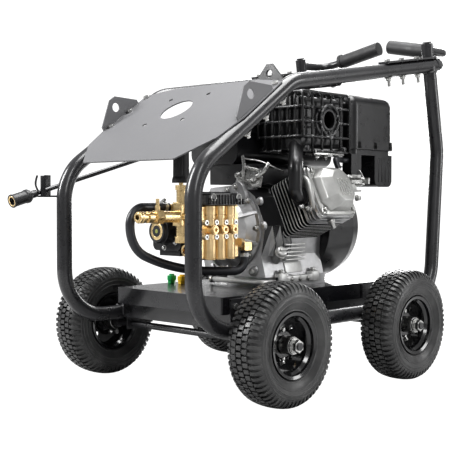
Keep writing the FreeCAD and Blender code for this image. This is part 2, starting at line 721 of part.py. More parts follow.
def outlet_fitting():
    x, z = OUTLET_X, OUTLET_Z
    face = OUTLET_Y - 14.0
    back = V(0, -1, 0)
    body = cyl((x, face, z), back, 13.0, 48.0)
    nut = hexagon((x, face - 46.0, z), back, 29.0, 20.0)
    relief = cyl((x, face - 56.0, z + 8.0), Z_AXIS, 6.0, 16.0)
    relief_cap = cyl((x, face - 56.0, z + 22.0), Z_AXIS, 4.0, 18.0)
    waist = cyl((x, face - 64.0, z), back, 10.5, 14.0)
    shoulder = cyl((x, face - 74.0, z), back, 12.6, 13.0)
    barrel = cyl((x, face - 80.0, z), back, COUPLER_R, 34.0)
    fitting = fuse([body, nut, relief, relief_cap, waist, shoulder, barrel])
    return fitting.cut(cyl((x, face - 114.5, z), Y_AXIS, OUTLET_BORE_R, 40.0))


def outlet_collar():
    x, z = OUTLET_X, OUTLET_Z
    front = OUTLET_Y - 14.0 - 113.0
    profile = [(COUPLER_R + RUN_FIT, 0), (11.5, 0), (12.8, 2), (12.8, 6), (11.6, 8), (12.8, 10),
               (12.8, 16), (COUPLER_R + RUN_FIT, 16)]
    return revolve(profile, (x, front, z), Y_AXIS)


def inlet_fittings():
    # threaded garden hose nipple on the near end, hose elbow on the far end
    x, z = 72.0, 322.0
    shank = cyl((x, -264.1, z), V(0, -1, 0), 9.0, 6.0)
    nut = hexagon((x, -269.0, z), V(0, -1, 0), 28.0, 9.0)
    thread = cyl((x, -277.0, z), V(0, -1, 0), 13.2, 18.0)
    nipple = fuse([shank, nut, thread]).cut(cyl((x, -300.0, z), Y_AXIS, 8.5, 33.0))
    hexa = hexagon((76.0, -141.9, 326.0), Y_AXIS, 20.0, 18.0)
    corner = rounded_box(67.0, 91.0, -125.0, -100.0, 316.0, 336.0, 4.0, X_AXIS)
    barb = cyl((HOSE_END[0], HOSE_END[1], 317.0), V(0, 0, -1), HOSE_IN_R - BARB_GAP, 19.0)
    return [nipple, fuse([hexa, corner, barb])]


def hose_corners():
    x = OUTLET_X - 31.0
    return [
        V(x, OUTLET_Y - 10.6, 417.0),
        V(x, -405.0, 417.0),
        V(x - 6.0, -397.0, 326.0),
        V(12.0, -262.0, 272.0),
        V(HOSE_END[0], HOSE_END[1], 268.0),
        V(HOSE_END[0], HOSE_END[1], 315.8),
    ]


def bypass_hose():
    return tube(hose_corners(), [36.0, 76.0, 340.0, 28.0], HOSE_R, HOSE_R - HOSE_IN_R)


def drive_shaft():
    # engine crankshaft and the pump shaft it is keyed to, turning as one
    shaft = cyl((CRANK_X, -268.0, CRANK_Z), Y_AXIS, SHAFT_R, 508.0)
    parts = [shaft]
    for i, y in enumerate(PLUNGER_Y):
        angle = math.radians(120.0 * i)
        x = CRANK_X + 4.0 * math.cos(angle)
        z = CRANK_Z + 4.0 * math.sin(angle)
        parts.append(cyl((x, y - 9.0, z), Y_AXIS, 15.0, 18.0))
    for y in (46.0, 100.0):
        parts.append(cyl((CRANK_X, y, CRANK_Z), Y_AXIS, 46.0, 14.0))
    parts.append(cyl((CRANK_X + 26.0, 50.0, CRANK_Z + 12.0), Y_AXIS, 15.0, 60.0))
    return fuse(parts)


# ---------------------------------------------------------------- engine
def cylinder_point(distance, rise):
    # distance runs out along the tilted cylinder, rise is normal to it
    x = CRANK_X + distance * math.cos(CYL_TILT) - rise * math.sin(CYL_TILT)
    z = CRANK_Z + distance * math.sin(CYL_TILT) + rise * math.cos(CYL_TILT)
    return x, z


def tilted_block(d0, d1, half_y, half_rise, radius):
    corner_x, corner_z = cylinder_point(d0, -half_rise)
    block = box(0, d1 - d0, CYL_Y - half_y, CYL_Y + half_y, 0, 2.0 * half_rise)
    if radius > 0:
        edges = [e for e in block.Edges if abs(e.Vertexes[1].Point.x - e.Vertexes[0].Point.x) > 1.0]
        block = block.makeFillet(radius, edges)
    block.rotate(V(0, 0, 0), Y_AXIS, -math.degrees(CYL_TILT))
    block.translate(V(corner_x, 0, corner_z))
    return block


def crankcase():
    outline = [(-100, 250), (-112, 300), (-112, 410), (-84, 462), (20, 470), (64, 440),
               (96, 372), (84, 300), (98, 250)]
    case = prism_y(outline, -60.0, 158.0)
    feet = box(-104.0, 104.0, 20.0, 156.0, TRAY_TOP_Z + 0.05, TRAY_TOP_Z + 24.0)
    web = box(-88.0, 88.0, 26.0, 150.0, 249.0, 262.0)
    parts = [case, feet, web]
    for y in (-34.0, -6.0, 22.0):
        rib = prism_y([(60, 400), (96, 372), (104, 330), (96, 300), (84, 300)], y, y + 6.0)
        parts.append(rib)
    parts.append(tilted_block(60.0, BARREL_END, 50.0, 48.0, 20.0))
    for i in range(9):
        d0 = 84.0 + 9.6 * i
        parts.append(tilted_block(d0, d0 + 3.2, 72.0, 66.0, 14.0))
    body = fuse(parts)
    body = body.cut(cyl((CRANK_X, -61.0, CRANK_Z), Y_AXIS, SHAFT_R + RUN_FIT, 225.0))
    body = body.cut(cyl((CRANK_X, -44.0, CRANK_Z), Y_AXIS, 62.0, 186.0))
    for x, y in engine_bolt_places():
        body = body.cut(cyl((x, y, TRAY_TOP_Z - 1.0), Z_AXIS, 5.5, 26.0))
        body = body.cut(cyl((x, y, TRAY_TOP_Z + 24.0), Z_AXIS, 12.0, 14.0))
    return body


def fan_shroud():
    # bent black cover between the crankcase and the fuel tank it carries
    skin = rounded_box(-110.0, 54.0, -36.0, 156.0, 462.0, TANK_Z0 - 0.2, 14.0, Y_AXIS)
    space = rounded_box(-107.0, 51.0, -33.0, 153.0, 455.0, TANK_Z0 - 3.2, 11.0, Y_AXIS)
    shell = skin.cut(space).cut(box(-120.0, 70.0, -60.0, 170.0, 450.0, 470.2))
    for i in range(5):
        y0 = -20.0 + 34.0 * i
        shell = shell.cut(rounded_box(-115.0, -100.0, y0, y0 + 22.0, 484.0, 502.0, 6.0, X_AXIS))
    return shell


def side_cover():
    profile = [(SHAFT_R + 2.0, 0), (62, 0), (64, 14), (74, 40), (92, 58), (100, 60), (100, 66),
               (SHAFT_R + 2.0, 66)]
    cover = revolve(profile, (CRANK_X, -126.0, CRANK_Z), Y_AXIS)
    ribs = []
    for i in range(8):
        rib = prism_x([(-122, 60), (-120, 66), (-66, 99), (-62, 99), (-62, 60)], -3.0, 3.0)
        rib.rotate(V(0, 0, 0), Y_AXIS, 45.0 * i + 20.0)
        rib.translate(V(CRANK_X, 0, CRANK_Z))
        ribs.append(rib)
    return fuse([cover] + ribs)


def cylinder_head():
    parts = [tilted_block(BARREL_END, 180.0, 72.0, 66.0, 12.0)]
    parts.append(tilted_block(180.0, 204.0, 60.0, 54.0, 14.0))
    for i in range(2):
        d0 = 184.0 + 9.0 * i
        parts.append(tilted_block(d0, d0 + 3.2, 72.0, 66.0, 12.0))
    parts.append(tilted_block(203.0, 212.0, 70.0, 64.0, 20.0))
    x, z = EXHAUST
    parts.append(cyl((x, 8.0, z), Y_AXIS, 16.0, 16.0))
    return fuse(parts).cut(cyl((x, 7.0, z), Y_AXIS, 12.0, 17.0))


def valve_cover():
    flange = tilted_block(212.1, 218.0, 66.0, 62.0, 24.0)
    dome = tilted_block(218.0, 246.0, 56.0, 52.0, 28.0)
    crown = tilted_block(246.0, 249.0, 44.0, 40.0, 22.0)
    start, up = breather_port()
    barb = cyl(start.sub(V(up).multiply(8.0)), up, BREATHER_R - BARB_GAP, 20.0)
    return fuse([flange, dome, crown, barb])


def breather_port():
    # where the breather hose leaves the top of the valve cover, and which way
    x, z = cylinder_point(232.0, 52.0)
    return V(x, 120.0, z), V(-math.sin(CYL_TILT), 0, math.cos(CYL_TILT))


def breather_hose():
    start, up = breather_port()
    x, z = BREATHER
    corners = [start.add(V(up).multiply(0.4)), start.add(V(up).multiply(26.0)), V(x, 184.0, z), V(x, 207.7, z)]
    return tube(corners, [14.0, 14.0], BREATHER_R + 3.0, 3.0)


def exhaust_pipe(radius):
    x, z = EXHAUST
    corners = [V(x, 7.9, z), V(x, -14.0, z), V(x, -14.0, 512.0), V(112.0, 34.0, 564.0)]
    return swept_bar(corners, [20.0, 30.0], radius)


def muffler():
    x, z = EXHAUST
    skin = rounded_box(14.0, 138.0, 22.0, 184.0, 556.0, 682.0, 20.0, Y_AXIS)
    gas = rounded_box(16.0, 136.0, 24.0, 182.0, 558.0, 680.0, 18.0, Y_AXIS)
    flange = cyl((x, 1.9, z), Y_AXIS, EXHAUST_R + 7.0, 6.0)
    outlet = ring((136.0, 116.0, 627.0), X_AXIS, 26.0, 21.0, 12.0)
    body = fuse([skin, exhaust_pipe(EXHAUST_R), flange, outlet]).cut(gas)
    body = body.cut(exhaust_pipe(EXHAUST_R - 2.5))
    return body.cut(cyl((130.0, 116.0, 627.0), X_AXIS, 21.0, 20.0))


def muffler_guard():
    outer = rounded_box(4.0, 152.0, 10.0, 198.0, 546.0, 694.0, 16.0, Y_AXIS)
    inner = rounded_box(7.0, 149.0, 13.0, 195.0, 549.0, 691.0, 14.0, Y_AXIS)
    shell = outer.cut(inner)
    shell = shell.cut(box(0.0, 12.0, 30.0, 178.0, 566.0, 674.0))
    shell = shell.cut(box(12.0, 144.0, 16.0, 192.0, 540.0, 560.0))
    ports = []
    for i in range(5):
        y0 = 20.0 + 35.2 * i
        for j in range(4):
            z0 = 558.0 + 32.0 * j
            ports.append(rounded_box(140.0, 160.0, y0, y0 + 28.0, z0, z0 + 26.0, 5.0, X_AXIS))
        ports.append(rounded_box(30.0, 70.0, y0, y0 + 28.0, 685.0, 700.0, 5.0, Z_AXIS))
        ports.append(rounded_box(80.0, 130.0, y0, y0 + 28.0, 685.0, 700.0, 5.0, Z_AXIS))
    keep = ring((140.0, 116.0, 627.0), X_AXIS, 44.0, 38.0, 20.0)
    hollow = fuse(ports).cut(keep)
    shell = shell.cut(hollow).cut(cyl((140.0, 116.0, 627.0), X_AXIS, 37.9, 20.0))
    for z in (574.0, 600.0, 626.0, 652.0):
        shell = shell.cut(rounded_box(106.0, 140.0, 0.0, 18.0, z, z + 12.0, 5.0, Y_AXIS))
    shell = shell.cut(box(88.0, 152.0, 0.0, 60.0, 540.0, 570.0))
    shell = max(shell.Solids, key=lambda solid: solid.Volume)
    shell = shell.fuse(box(60.0, 90.0, 13.0, 22.0, 600.0, 630.0))
    return shell.fuse(box(60.0, 90.0, 184.0, 195.0, 600.0, 630.0))


def fuel_tank():
    outer = rounded_box(-168.0, -8.0, -45.0, 325.0, TANK_Z0, 690.0, 26.0, Y_AXIS)
    outer = outer.fuse(box(-176.0, -2.0, -51.0, 331.0, 598.0, 604.0))
    neck = ring((-88.0, 150.0, 688.0), Z_AXIS, 26.0, 22.0, 12.0)
    inner = rounded_box(-165.0, -11.0, -42.0, 322.0, TANK_Z0 + 3.0, 687.0, 23.0, Y_AXIS)
    body = fuse([outer, neck]).cut(inner)
    return body.cut(cyl((-88.0, 150.0, 680.0), Z_AXIS, 22.0, 30.0))


def fuel_cap():
    profile = [(0, 0), (22.0 - RUN_FIT, 0), (22.0 - RUN_FIT, 10.3), (31, 10.3), (32, 12),
               (32, 22), (29, 26), (0, 26)]
    cap = revolve(profile, (-88.0, 150.0, 690.0), Z_AXIS)
    for i in range(16):
        angle = math.radians(22.5 * i)
        x = -88.0 + 33.5 * math.cos(angle)
        y = 150.0 + 33.5 * math.sin(angle)
        cap = cap.cut(cyl((x, y, 699.0), Z_AXIS, 3.0, 20.0))
    return cap


def air_cleaner_base():
    plate = rounded_box(24.0, 146.0, 208.0, 386.0, 546.0, 560.0, 24.0, Z_AXIS)
    box_out = rounded_box(58.0, 146.0, 308.0, 384.0, 466.0, 562.0, 18.0, X_AXIS)
    box_out = box_out.common(box(50.0, 150.0, 300.0, 390.0, 460.0, 548.0))
    box_in = rounded_box(61.0, 143.0, 311.0, 381.0, 469.0, 562.0, 15.0, X_AXIS)
    box_in = box_in.common(box(50.0, 150.0, 300.0, 390.0, 460.0, 548.0))
    elbow = box(118.0, 146.0, 208.0, 250.0, 496.3, 548.0)
    x, z = BREATHER
    barb = cyl((x, 196.0, z), Y_AXIS, BREATHER_R - BARB_GAP, 12.5)
    base = fuse([plate, box_out.cut(box_in), elbow, barb])
    return base.cut(cyl((85.0, 296.0, 545.0), Z_AXIS, 4.0 + RUN_FIT, 16.0))


def filter_stud():
    # threaded post with a collar, clamped in the air cleaner base
    post = cyl((85.0, 296.0, 546.0), Z_AXIS, 4.0, 72.0)
    return post.fuse(cyl((85.0, 296.0, 560.0), Z_AXIS, 7.0, 3.0))


def domed_box(x0, x1, y0, y1, z0, z1, radius):
    # upright box with rounded corners and a rounded top rim, flat underneath
    solid = box(x0, x1, y0, y1, z0, z1)
    rims = [e for e in solid.Edges if e.BoundBox.ZMax > z0 + 1.0]
    return solid.makeFillet(radius, rims)


def air_cleaner_cover():
    outer = domed_box(20.0, 150.0, 204.0, 389.0, 560.3, 697.0, 26.0)
    band = rounded_box(17.0, 153.0, 201.0, 392.0, 560.3, 582.0, 24.0, Z_AXIS)
    inner = domed_box(23.0, 147.0, 207.0, 386.0, 560.0, 694.0, 23.0)
    latch = box(60.0, 100.0, 390.0, 400.0, 566.0, 600.0)
    return fuse([outer, band, latch]).cut(inner)


def carburettor():
    body = rounded_box(122.0, 158.0, 153.0, 214.0, 452.0, 494.0, 8.0, Y_AXIS)
    bowl = cyl((140.0, 188.0, 420.0), Z_AXIS, 22.0, 34.0)
    drain = cyl((140.0, 188.0, 412.0), Z_AXIS, 6.0, 9.0)
    intake = box(124.0, 146.0, 210.0, 250.0, 466.0, 496.0)
    post = cyl((158.0, 184.0, 480.0), X_AXIS, 4.0, 8.0)
    stop = cyl((166.0, 184.0, 480.0), X_AXIS, 7.0, 3.0)
    return fuse([body, bowl, drain, intake, post, stop])


def throttle_lever():
    arm = box(159.0, 163.0, 178.0, 246.0, 475.0, 485.0)
    tab = box(159.0, 175.0, 240.0, 246.0, 472.0, 488.0)
    lever = fuse([arm, tab, cyl((159.0, 184.0, 480.0), X_AXIS, 9.0, 6.5)])
    return lever.cut(cyl((150.0, 184.0, 480.0), X_AXIS, 4.0 + RUN_FIT, 16.0))


def recoil_housing():
    profile = [(118, 0), (132, 0), (132, 100), (122, 132), (96, 142), (94, 160), (80, 172),
               (0, 172), (0, 168), (78, 168), (90, 158), (92, 139), (112, 128), (118, 112)]
    shell = revolve(profile, (CRANK_X, 158.1, CRANK_Z), Y_AXIS)
    for i in range(16):
        slot = rounded_box(-4.0, 4.0, 300.0, 340.0, 28.0, 68.0, 3.0, Y_AXIS)
        slot.rotate(V(0, 0, 0), Y_AXIS, 22.5 * i)
        slot.translate(V(CRANK_X, 0, CRANK_Z))
        shell = shell.cut(slot)
    back = ring((CRANK_X, 158.1, CRANK_Z), Y_AXIS, 119.0, 40.0, 4.0)
    boss = cyl((-96.0, 318.0, 412.0), V(-1, 0, 0.2), 12.0, 22.0)
    return fuse([shell, back, boss]).cut(cyl((-80.0, 318.0, 408.8), V(-1, 0, 0.2), 3.0, 60.0))


def recoil_grip():
    axis = V(-1, 0, 0.2)
    axis.normalize()
    start = V(-96.0, 318.0, 412.0).add(V(axis).multiply(22.4))
    stem = Part.makeCylinder(7.0, 16.0, start, axis)
    bar_at = start.add(V(axis).multiply(20.0))
    bar = cyl((bar_at.x, bar_at.y - 40.0, bar_at.z), Y_AXIS, 9.0, 80.0)
    rope = Part.makeCylinder(2.5, 10.0, start.add(V(axis).multiply(-9.0)), axis)
    return fuse([stem, bar, rope])


def flywheel():
    profile = [(SHAFT_R, 0), (40, 0), (40, 10), (104, 10), (108, 4), (110, 4), (110, 34),
               (104, 34), (100, 24), (40, 24), (30, 34), (SHAFT_R, 34)]
    wheel = revolve(profile, (CRANK_X, 178.0, CRANK_Z), Y_AXIS)
    blades = []
    for i in range(16):
        blade = box(-1.5, 1.5, 200.0, 232.0, 60.0, 106.0)
        blade.rotate(V(0, 0, 0), Y_AXIS, 22.5 * i)
        blade.translate(V(CRANK_X, 0, CRANK_Z))
        blades.append(blade)
    return fuse([wheel] + blades)


# ---------------------------------------------------------------- export
def cut_all(shape, tools):
    for tool in tools:
        shape = shape.cut(tool)
    return shape


def build():
    os.makedirs("parts", exist_ok=True)
    bolts = frame_bolts()
    left = cut_all(left_side_tube(), bolts)
    right = cut_all(side_tube(HOOP_X), bolts)
    save("side_tube_left", max(left.Solids, key=lambda solid: solid.Volume))
    save("side_tube_right", max(right.Solids, key=lambda solid: solid.Volume))
    save("rear_bow", rear_bow())
    save("lifting_bar", lifting_bar())
    save("base_tray", base_tray())
    save("cross_channels", [cross_channel(-WHEEL_Y), cross_channel(WHEEL_Y)])
    save("front_panel", front_panel())
    save("bolts", bolts + pump_bolts() + [filter_stud()])
    save("axles", [axle(-WHEEL_Y), axle(WHEEL_Y)])
    save("axle_nuts", axle_nuts())
    for name, place in wheel_places().items():
        save("tyre_" + name, tyre(*place))
        save("rim_" + name, rim(*place))
    save("pivot_plates", [pivot_plate(-HOOP_X), pivot_plate(HOOP_X)])
    save("handle_left", handle(-1))
    save("handle_right", handle(1))
    save("grip_left", grip(-1))
    save("grip_right", grip(1))
    save("lance", lance())
    save("lance_collar", lance_collar())
    save("gun", gun())
    save("trigger", trigger())
    for i, place in enumerate(spray_tip_places()):
        save("spray_tip_" + str(i + 1), spray_tip(*place))
    save("pump_crankcase", pump_crankcase())
    save("pump_manifold", pump_manifold())
    save("valve_caps", valve_caps())
    save("pump_top_cover", pump_top_cover())
    for i, y in enumerate(PLUNGER_Y):
        save("plunger_" + str(i + 1), plunger(y))
    save("unloader", unloader())
    save("unloader_knob", unloader_knob())
    save("outlet_fitting", outlet_fitting())
    save("outlet_collar", outlet_collar())
    save("inlet_fittings", inlet_fittings())
    save("bypass_hose", bypass_hose())
    save("drive_shaft", drive_shaft())
    save("flywheel", flywheel())
    save("crankcase", crankcase())
    save("fan_shroud", fan_shroud())
    save("side_cover", side_cover())
    save("cylinder_head", cylinder_head())
    save("valve_cover", valve_cover())
    save("breather_hose", breather_hose())
    save("muffler", muffler())
    save("muffler_guard", muffler_guard())
    save("fuel_tank", fuel_tank())
    save("fuel_cap", fuel_cap())
    save("air_cleaner_base", air_cleaner_base())
    save("air_cleaner_cover", air_cleaner_cover())
    save("carburettor", carburettor())
    save("throttle_lever", throttle_lever())
    save("recoil_housing", recoil_housing())
    save("recoil_grip", recoil_grip())


build()
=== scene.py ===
"""Looks of a four-wheel pressure washer cart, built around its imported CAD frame. Metres, +Z up.

Points are vectors in metres. The mesh tools take their sizes, and Place.at() its offsets, in millimetres.
"""

import json
from math import cos, radians, sin, sqrt, tau

import bmesh
import bpy
from mathutils import Matrix, Vector


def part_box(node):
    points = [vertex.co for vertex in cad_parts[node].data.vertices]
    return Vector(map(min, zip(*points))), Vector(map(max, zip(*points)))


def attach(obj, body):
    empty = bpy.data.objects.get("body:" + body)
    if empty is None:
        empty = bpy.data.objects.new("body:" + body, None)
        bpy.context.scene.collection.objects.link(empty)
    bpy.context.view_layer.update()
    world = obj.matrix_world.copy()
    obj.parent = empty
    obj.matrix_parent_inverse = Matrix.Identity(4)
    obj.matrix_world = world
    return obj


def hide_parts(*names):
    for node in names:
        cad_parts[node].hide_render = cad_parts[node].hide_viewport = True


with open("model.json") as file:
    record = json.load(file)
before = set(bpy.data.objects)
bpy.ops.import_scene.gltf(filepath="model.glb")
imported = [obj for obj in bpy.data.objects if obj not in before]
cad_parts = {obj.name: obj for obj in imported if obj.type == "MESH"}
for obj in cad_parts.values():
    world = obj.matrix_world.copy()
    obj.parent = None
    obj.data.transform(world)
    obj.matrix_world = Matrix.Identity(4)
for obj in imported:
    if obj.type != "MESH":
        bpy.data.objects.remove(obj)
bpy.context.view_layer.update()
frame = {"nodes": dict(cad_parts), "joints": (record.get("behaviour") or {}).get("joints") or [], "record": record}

MM = 0.001
X_AXIS = Vector((1, 0, 0))
Y_AXIS = Vector((0, 1, 0))
Z_AXIS = Vector((0, 0, 1))
SIDES = (-1, 1)
SHARP = radians(32)

WHEELS = ("front_left", "front_right", "rear_left", "rear_right")
TREAD_ROWS = 60
BLOCK_HEIGHT = 6.2
RAIL_X = 214.0
RAIL_SLOPE = radians(9.07)
PANEL_SLOPE = radians(34.26)
CAGE_BAR = 3.3
CYLINDER_TILT = radians(25)
OUTWARD = Vector((cos(CYLINDER_TILT), 0, sin(CYLINDER_TILT)))
UPWARD = Vector((-sin(CYLINDER_TILT), 0, cos(CYLINDER_TILT)))


# ---- places
def mm(x, y, z):
    return Vector((x * MM, y * MM, z * MM))


class Place:
    """A CAD node's box at rest: at() gives a point by fractions of it, plus an offset in mm."""

    def __init__(self, node):
        self.low, self.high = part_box(node)
        self.size = self.high - self.low
        self.middle = (self.low + self.high) / 2

    def at(self, fx, fy, fz, dx=0.0, dy=0.0, dz=0.0):
        x = self.low.x + fx * self.size.x + dx * MM
        y = self.low.y + fy * self.size.y + dy * MM
        z = self.low.z + fz * self.size.z + dz * MM
        return Vector((x, y, z))


def named(rows, name):
    return next(row for row in rows if row["name"] == name)


def joint_point(name):
    return Vector(named(frame["joints"], name)["pos_m"])


def joint_axis(name):
    return Vector(named(frame["joints"], name)["axis"]).normalized()


def opening_centre(name):
    low, high = named(frame["record"]["physics"]["openings"], name)["box_m"]
    return (Vector(low) + Vector(high)) / 2


def polar(radius, degrees, height=0.0):
    """Offset round the Z axis, in mm."""
    turn = radians(degrees)
    return mm(radius * cos(turn), radius * sin(turn), height)


def upright(radius, degrees, depth=0.0):
    """Offset round the Y axis, in mm, from straight along X."""
    turn = radians(degrees)
    return mm(radius * cos(turn), depth, radius * sin(turn))


def facing(origin, axis):
    """Matrix whose local Z runs along axis, placed at origin."""
    return Matrix.Translation(origin) @ Vector(axis).to_track_quat("Z", "Y").to_matrix().to_4x4()


def shifted(x, y, z):
    return Matrix.Translation(mm(x, y, z))


def moved(origin, x, y, z):
    return Matrix.Translation(origin + mm(x, y, z))


def turned(degrees, axis):
    return Matrix.Rotation(radians(degrees), 4, axis)


def tilted(distance, rise, y, dy=0.0):
    """Point of the tilted cylinder's frame: distance out from the crank, rise normal to it."""
    point = joint_point("drive_spin") + (OUTWARD * distance + UPWARD * rise) * MM
    point.y = y + dy * MM
    return point


def cylinder_frame(distance, rise, y, dy=0.0):
    """Matrix at a point of the tilted cylinder: X along world Y, Y up the tilted face, Z outward."""
    matrix = Matrix((Y_AXIS, UPWARD, OUTWARD)).transposed().to_4x4()
    matrix.translation = tilted(distance, rise, y, dy)
    return matrix


# ---- materials
def rgba(colour, factor=1.0):
    """Colour with alpha, from three parts or one grey level."""
    parts = colour if isinstance(colour, tuple) else (colour,) * 3
    return (*(min(1.0, part * factor) for part in parts), 1.0)


class Graph:
    """The shader nodes of one material or world."""

    def __init__(self, owner):
        owner.use_nodes = True
        self.tree = owner.node_tree
        self.tree.nodes.clear()

    def feed(self, node, sockets):
        """Gives each input named a value or another node's output."""
        for key, value in sockets.items():
            if isinstance(value, bpy.types.NodeSocket):
                self.tree.links.new(value, node.inputs[key])
            else:
                node.inputs[key].default_value = value

    def add(self, kind, sockets=None, **settings):
        node = self.tree.nodes.new(kind)
        for key, value in settings.items():
            setattr(node, key, value)
        self.feed(node, sockets or {})
        return node

    def mix_shaders(self, factor, a, b):
        return self.add("ShaderNodeMixShader", {0: factor, 1: a, 2: b}).outputs[0]


MATERIALS = {}


class Finish(Graph):
    """A material with one Principled shader, kept in MATERIALS under its name."""

    def __init__(self, name):
        MATERIALS[name] = bpy.data.materials.new(name)
        super().__init__(MATERIALS[name])
        self.shader = self.add("ShaderNodeBsdfPrincipled")
        self.output = self.add("ShaderNodeOutputMaterial", {0: self.shader.outputs[0]})
        self.coords = self.add("ShaderNodeTexCoord").outputs["Object"]

    def noise(self, scale, detail=3.0, vector=None):
        sockets = {"Scale": scale, "Detail": detail, "Vector": vector or self.coords}
        return self.add("ShaderNodeTexNoise", sockets).outputs["Fac"]

    def remap(self, source, low, high, to_low, to_high):
        sockets = {"Value": source, "From Min": low, "From Max": high, "To Min": to_low, "To Max": to_high}
        return self.add("ShaderNodeMapRange", sockets).outputs["Result"]

    def blend(self, factor, a, b):
        return self.add("ShaderNodeMix", {0: factor, 6: a, 7: b}, data_type="RGBA").outputs[2]

    def edge_mask(self, radius, breakup):
        """How strongly each point near the edges is marked, broken up by noise, and the rounded normal; the mark
        is wear, and on some finishes also a painted highlight.
        """
        rounded = self.add("ShaderNodeBevel", {"Radius": radius}, samples=4).outputs[0]
        plain = self.add("ShaderNodeNewGeometry").outputs["Normal"]
        dot = self.add("ShaderNodeVectorMath", {0: rounded, 1: plain}, operation="DOT_PRODUCT")
        edge = self.remap(dot.outputs["Value"], 0.985, 0.80, 0.0, 1.0)
        rough = self.remap(self.noise(breakup, 5.0), 0.38, 0.62, 0.15, 1.0)
        return self.add("ShaderNodeMath", {0: edge, 1: rough}, operation="MULTIPLY").outputs[0], rounded

    def relief(self, height, strength, distance, normal):
        sockets = {"Height": height, "Strength": strength, "Distance": distance, "Normal": normal}
        return self.add("ShaderNodeBump", sockets).outputs[0]


def add_finish(name, colour, metal, rough, patch=0.18, scale=14.0, grain=900.0, relief=0.12,
               depth=0.0003, edge_wear_and_highlight=None, edge_wear_and_highlight_share=0.5, edge=0.0009, coat=0.0, brushed=None, uneven=0.2):
    """Painted, cast, moulded or machined surface: colour patches, uneven gloss, grain and lightened edges, which
    are wear and on some finishes also a painted highlight.
    """
    g = Finish(name)
    mottling = g.remap(g.noise(scale, 6.0), 0.3, 0.7, 0.0, 1.0)
    body = g.blend(mottling, rgba(colour, 1.0 - patch), rgba(colour, 1.0 + patch))
    mask, rounded = g.edge_mask(edge, 60.0)
    # Edge colour: wear on most finishes; set bright on the muffler cage and the barrel fins, where it is a painted
    # highlight as well as wear.
    if edge_wear_and_highlight:
        body = g.blend(g.remap(mask, 0.0, 1.0, 0.0, edge_wear_and_highlight_share), body, rgba(edge_wear_and_highlight))
    gloss = g.remap(g.noise(scale * 3.0, 4.0), 0.3, 0.7, rough * (1 - uneven), rough * (1 + uneven))
    along = None
    if brushed:
        along = g.add("ShaderNodeMapping", {"Vector": g.coords, "Scale": brushed}).outputs[0]
    normal = g.relief(g.noise(grain, 2.0, along), relief, depth, rounded)
    g.feed(g.shader, {"Base Color": body, "Metallic": metal, "Roughness": gloss, "Normal": normal})
    if coat:
        g.feed(g.shader, {"Coat Weight": coat, "Coat Roughness": 0.08})


def add_tyre_finish(name):
    """Rubber with a dusty bloom in random patches, edges lightened as scuffing and as a painted highlight on the
    block edges, and a slight sheen on the sidewall.
    """
    g = Finish(name)
    dust = g.remap(g.noise(22.0, 7.0), 0.42, 0.72, 0.0, 0.55)
    body = g.blend(dust, rgba((0.032, 0.032, 0.0325)), rgba((0.105, 0.105, 0.104)))
    mask, rounded = g.edge_mask(0.0008, 90.0)
    # Light grey on the edges: scuffing, and a painted highlight on the tread blocks' edges.
    body = g.blend(g.remap(mask, 0.0, 1.0, 0.0, 0.65), body, rgba(0.24))
    gloss = g.remap(g.noise(35.0, 5.0), 0.3, 0.7, 0.27, 0.42)
    normal = g.relief(g.noise(650.0, 3.0), 0.25, 0.0004, rounded)
    g.feed(g.shader, {"Base Color": body, "Roughness": gloss, "Normal": normal})


def add_floor_finish(name, fade_start, fade_end):
    """Pale floor that turns into the plain background away from the object."""
    g = Finish(name)
    distance = g.add("ShaderNodeVectorMath", {0: g.coords}, operation="LENGTH").outputs["Value"]
    away = g.remap(distance, fade_start, fade_end, 0.0, 1.0)
    tint = g.blend(g.remap(g.noise(3.0, 4.0), 0.3, 0.7, 0.0, 1.0), rgba(0.50), rgba(0.56))
    gloss = g.remap(g.noise(40.0, 3.0), 0.3, 0.7, 0.55, 0.7)
    g.feed(g.shader, {"Base Color": tint, "Roughness": gloss})
    plain = g.shader.outputs[0]
    glow = g.add("ShaderNodeEmission", {"Strength": 1.0}).outputs[0]
    faded = g.mix_shaders(away, g.mix_shaders(0.88, plain, glow), glow)
    camera_ray = g.add("ShaderNodeLightPath").outputs["Is Camera Ray"]
    g.feed(g.output, {0: g.mix_shaders(camera_ray, plain, faded)})


add_finish("frame_black", (0.022, 0.022, 0.024), 0, 0.3, patch=0.12, edge_wear_and_highlight=0.06, relief=0.07,
           grain=1300, coat=0.3)
add_finish("panel_grey", (0.145, 0.145, 0.15), 0.12, 0.55, patch=0.025, scale=5, uneven=0.04,
           edge_wear_and_highlight=0.5, relief=0.02)
add_finish("tray_metal", (0.009, 0.009, 0.011), 0, 0.24, patch=0.15, edge_wear_and_highlight=0.25, relief=0.05, coat=0.3)
add_finish("zinc_steel", (0.46, 0.46, 0.45), 1, 0.3, patch=0.16, scale=70, edge_wear_and_highlight=0.7,
           relief=0.08)
add_finish("rim_black", (0.008, 0.008, 0.009), 0, 0.14, patch=0.2, edge_wear_and_highlight=0.16, edge_wear_and_highlight_share=0.35,
           relief=0.04, coat=0.6)
add_finish("grip_rubber", (0.028, 0.028, 0.029), 0, 0.56, patch=0.2, edge_wear_and_highlight=0.08, relief=0.3,
           grain=420)
add_finish("hose_rubber", (0.02, 0.021, 0.025), 0, 0.38, patch=0.2, relief=0.15, grain=500)
add_finish("gun_plastic", 0.022, 0, 0.48, edge_wear_and_highlight=0.08, relief=0.3, grain=600)
add_finish("steel", 0.45, 1, 0.3, patch=0.12, scale=60, edge_wear_and_highlight=0.75, relief=0.08,
           brushed=(8, 8, 1), grain=300)
add_finish("collar_brass", (0.72, 0.55, 0.3), 1, 0.3, patch=0.13, scale=45,
           edge_wear_and_highlight=(0.95, 0.78, 0.45), relief=0.1)
add_finish("tip_green", (0.02, 0.36, 0.1), 0, 0.3, edge_wear_and_highlight=(0.2, 0.6, 0.3), relief=0.05)
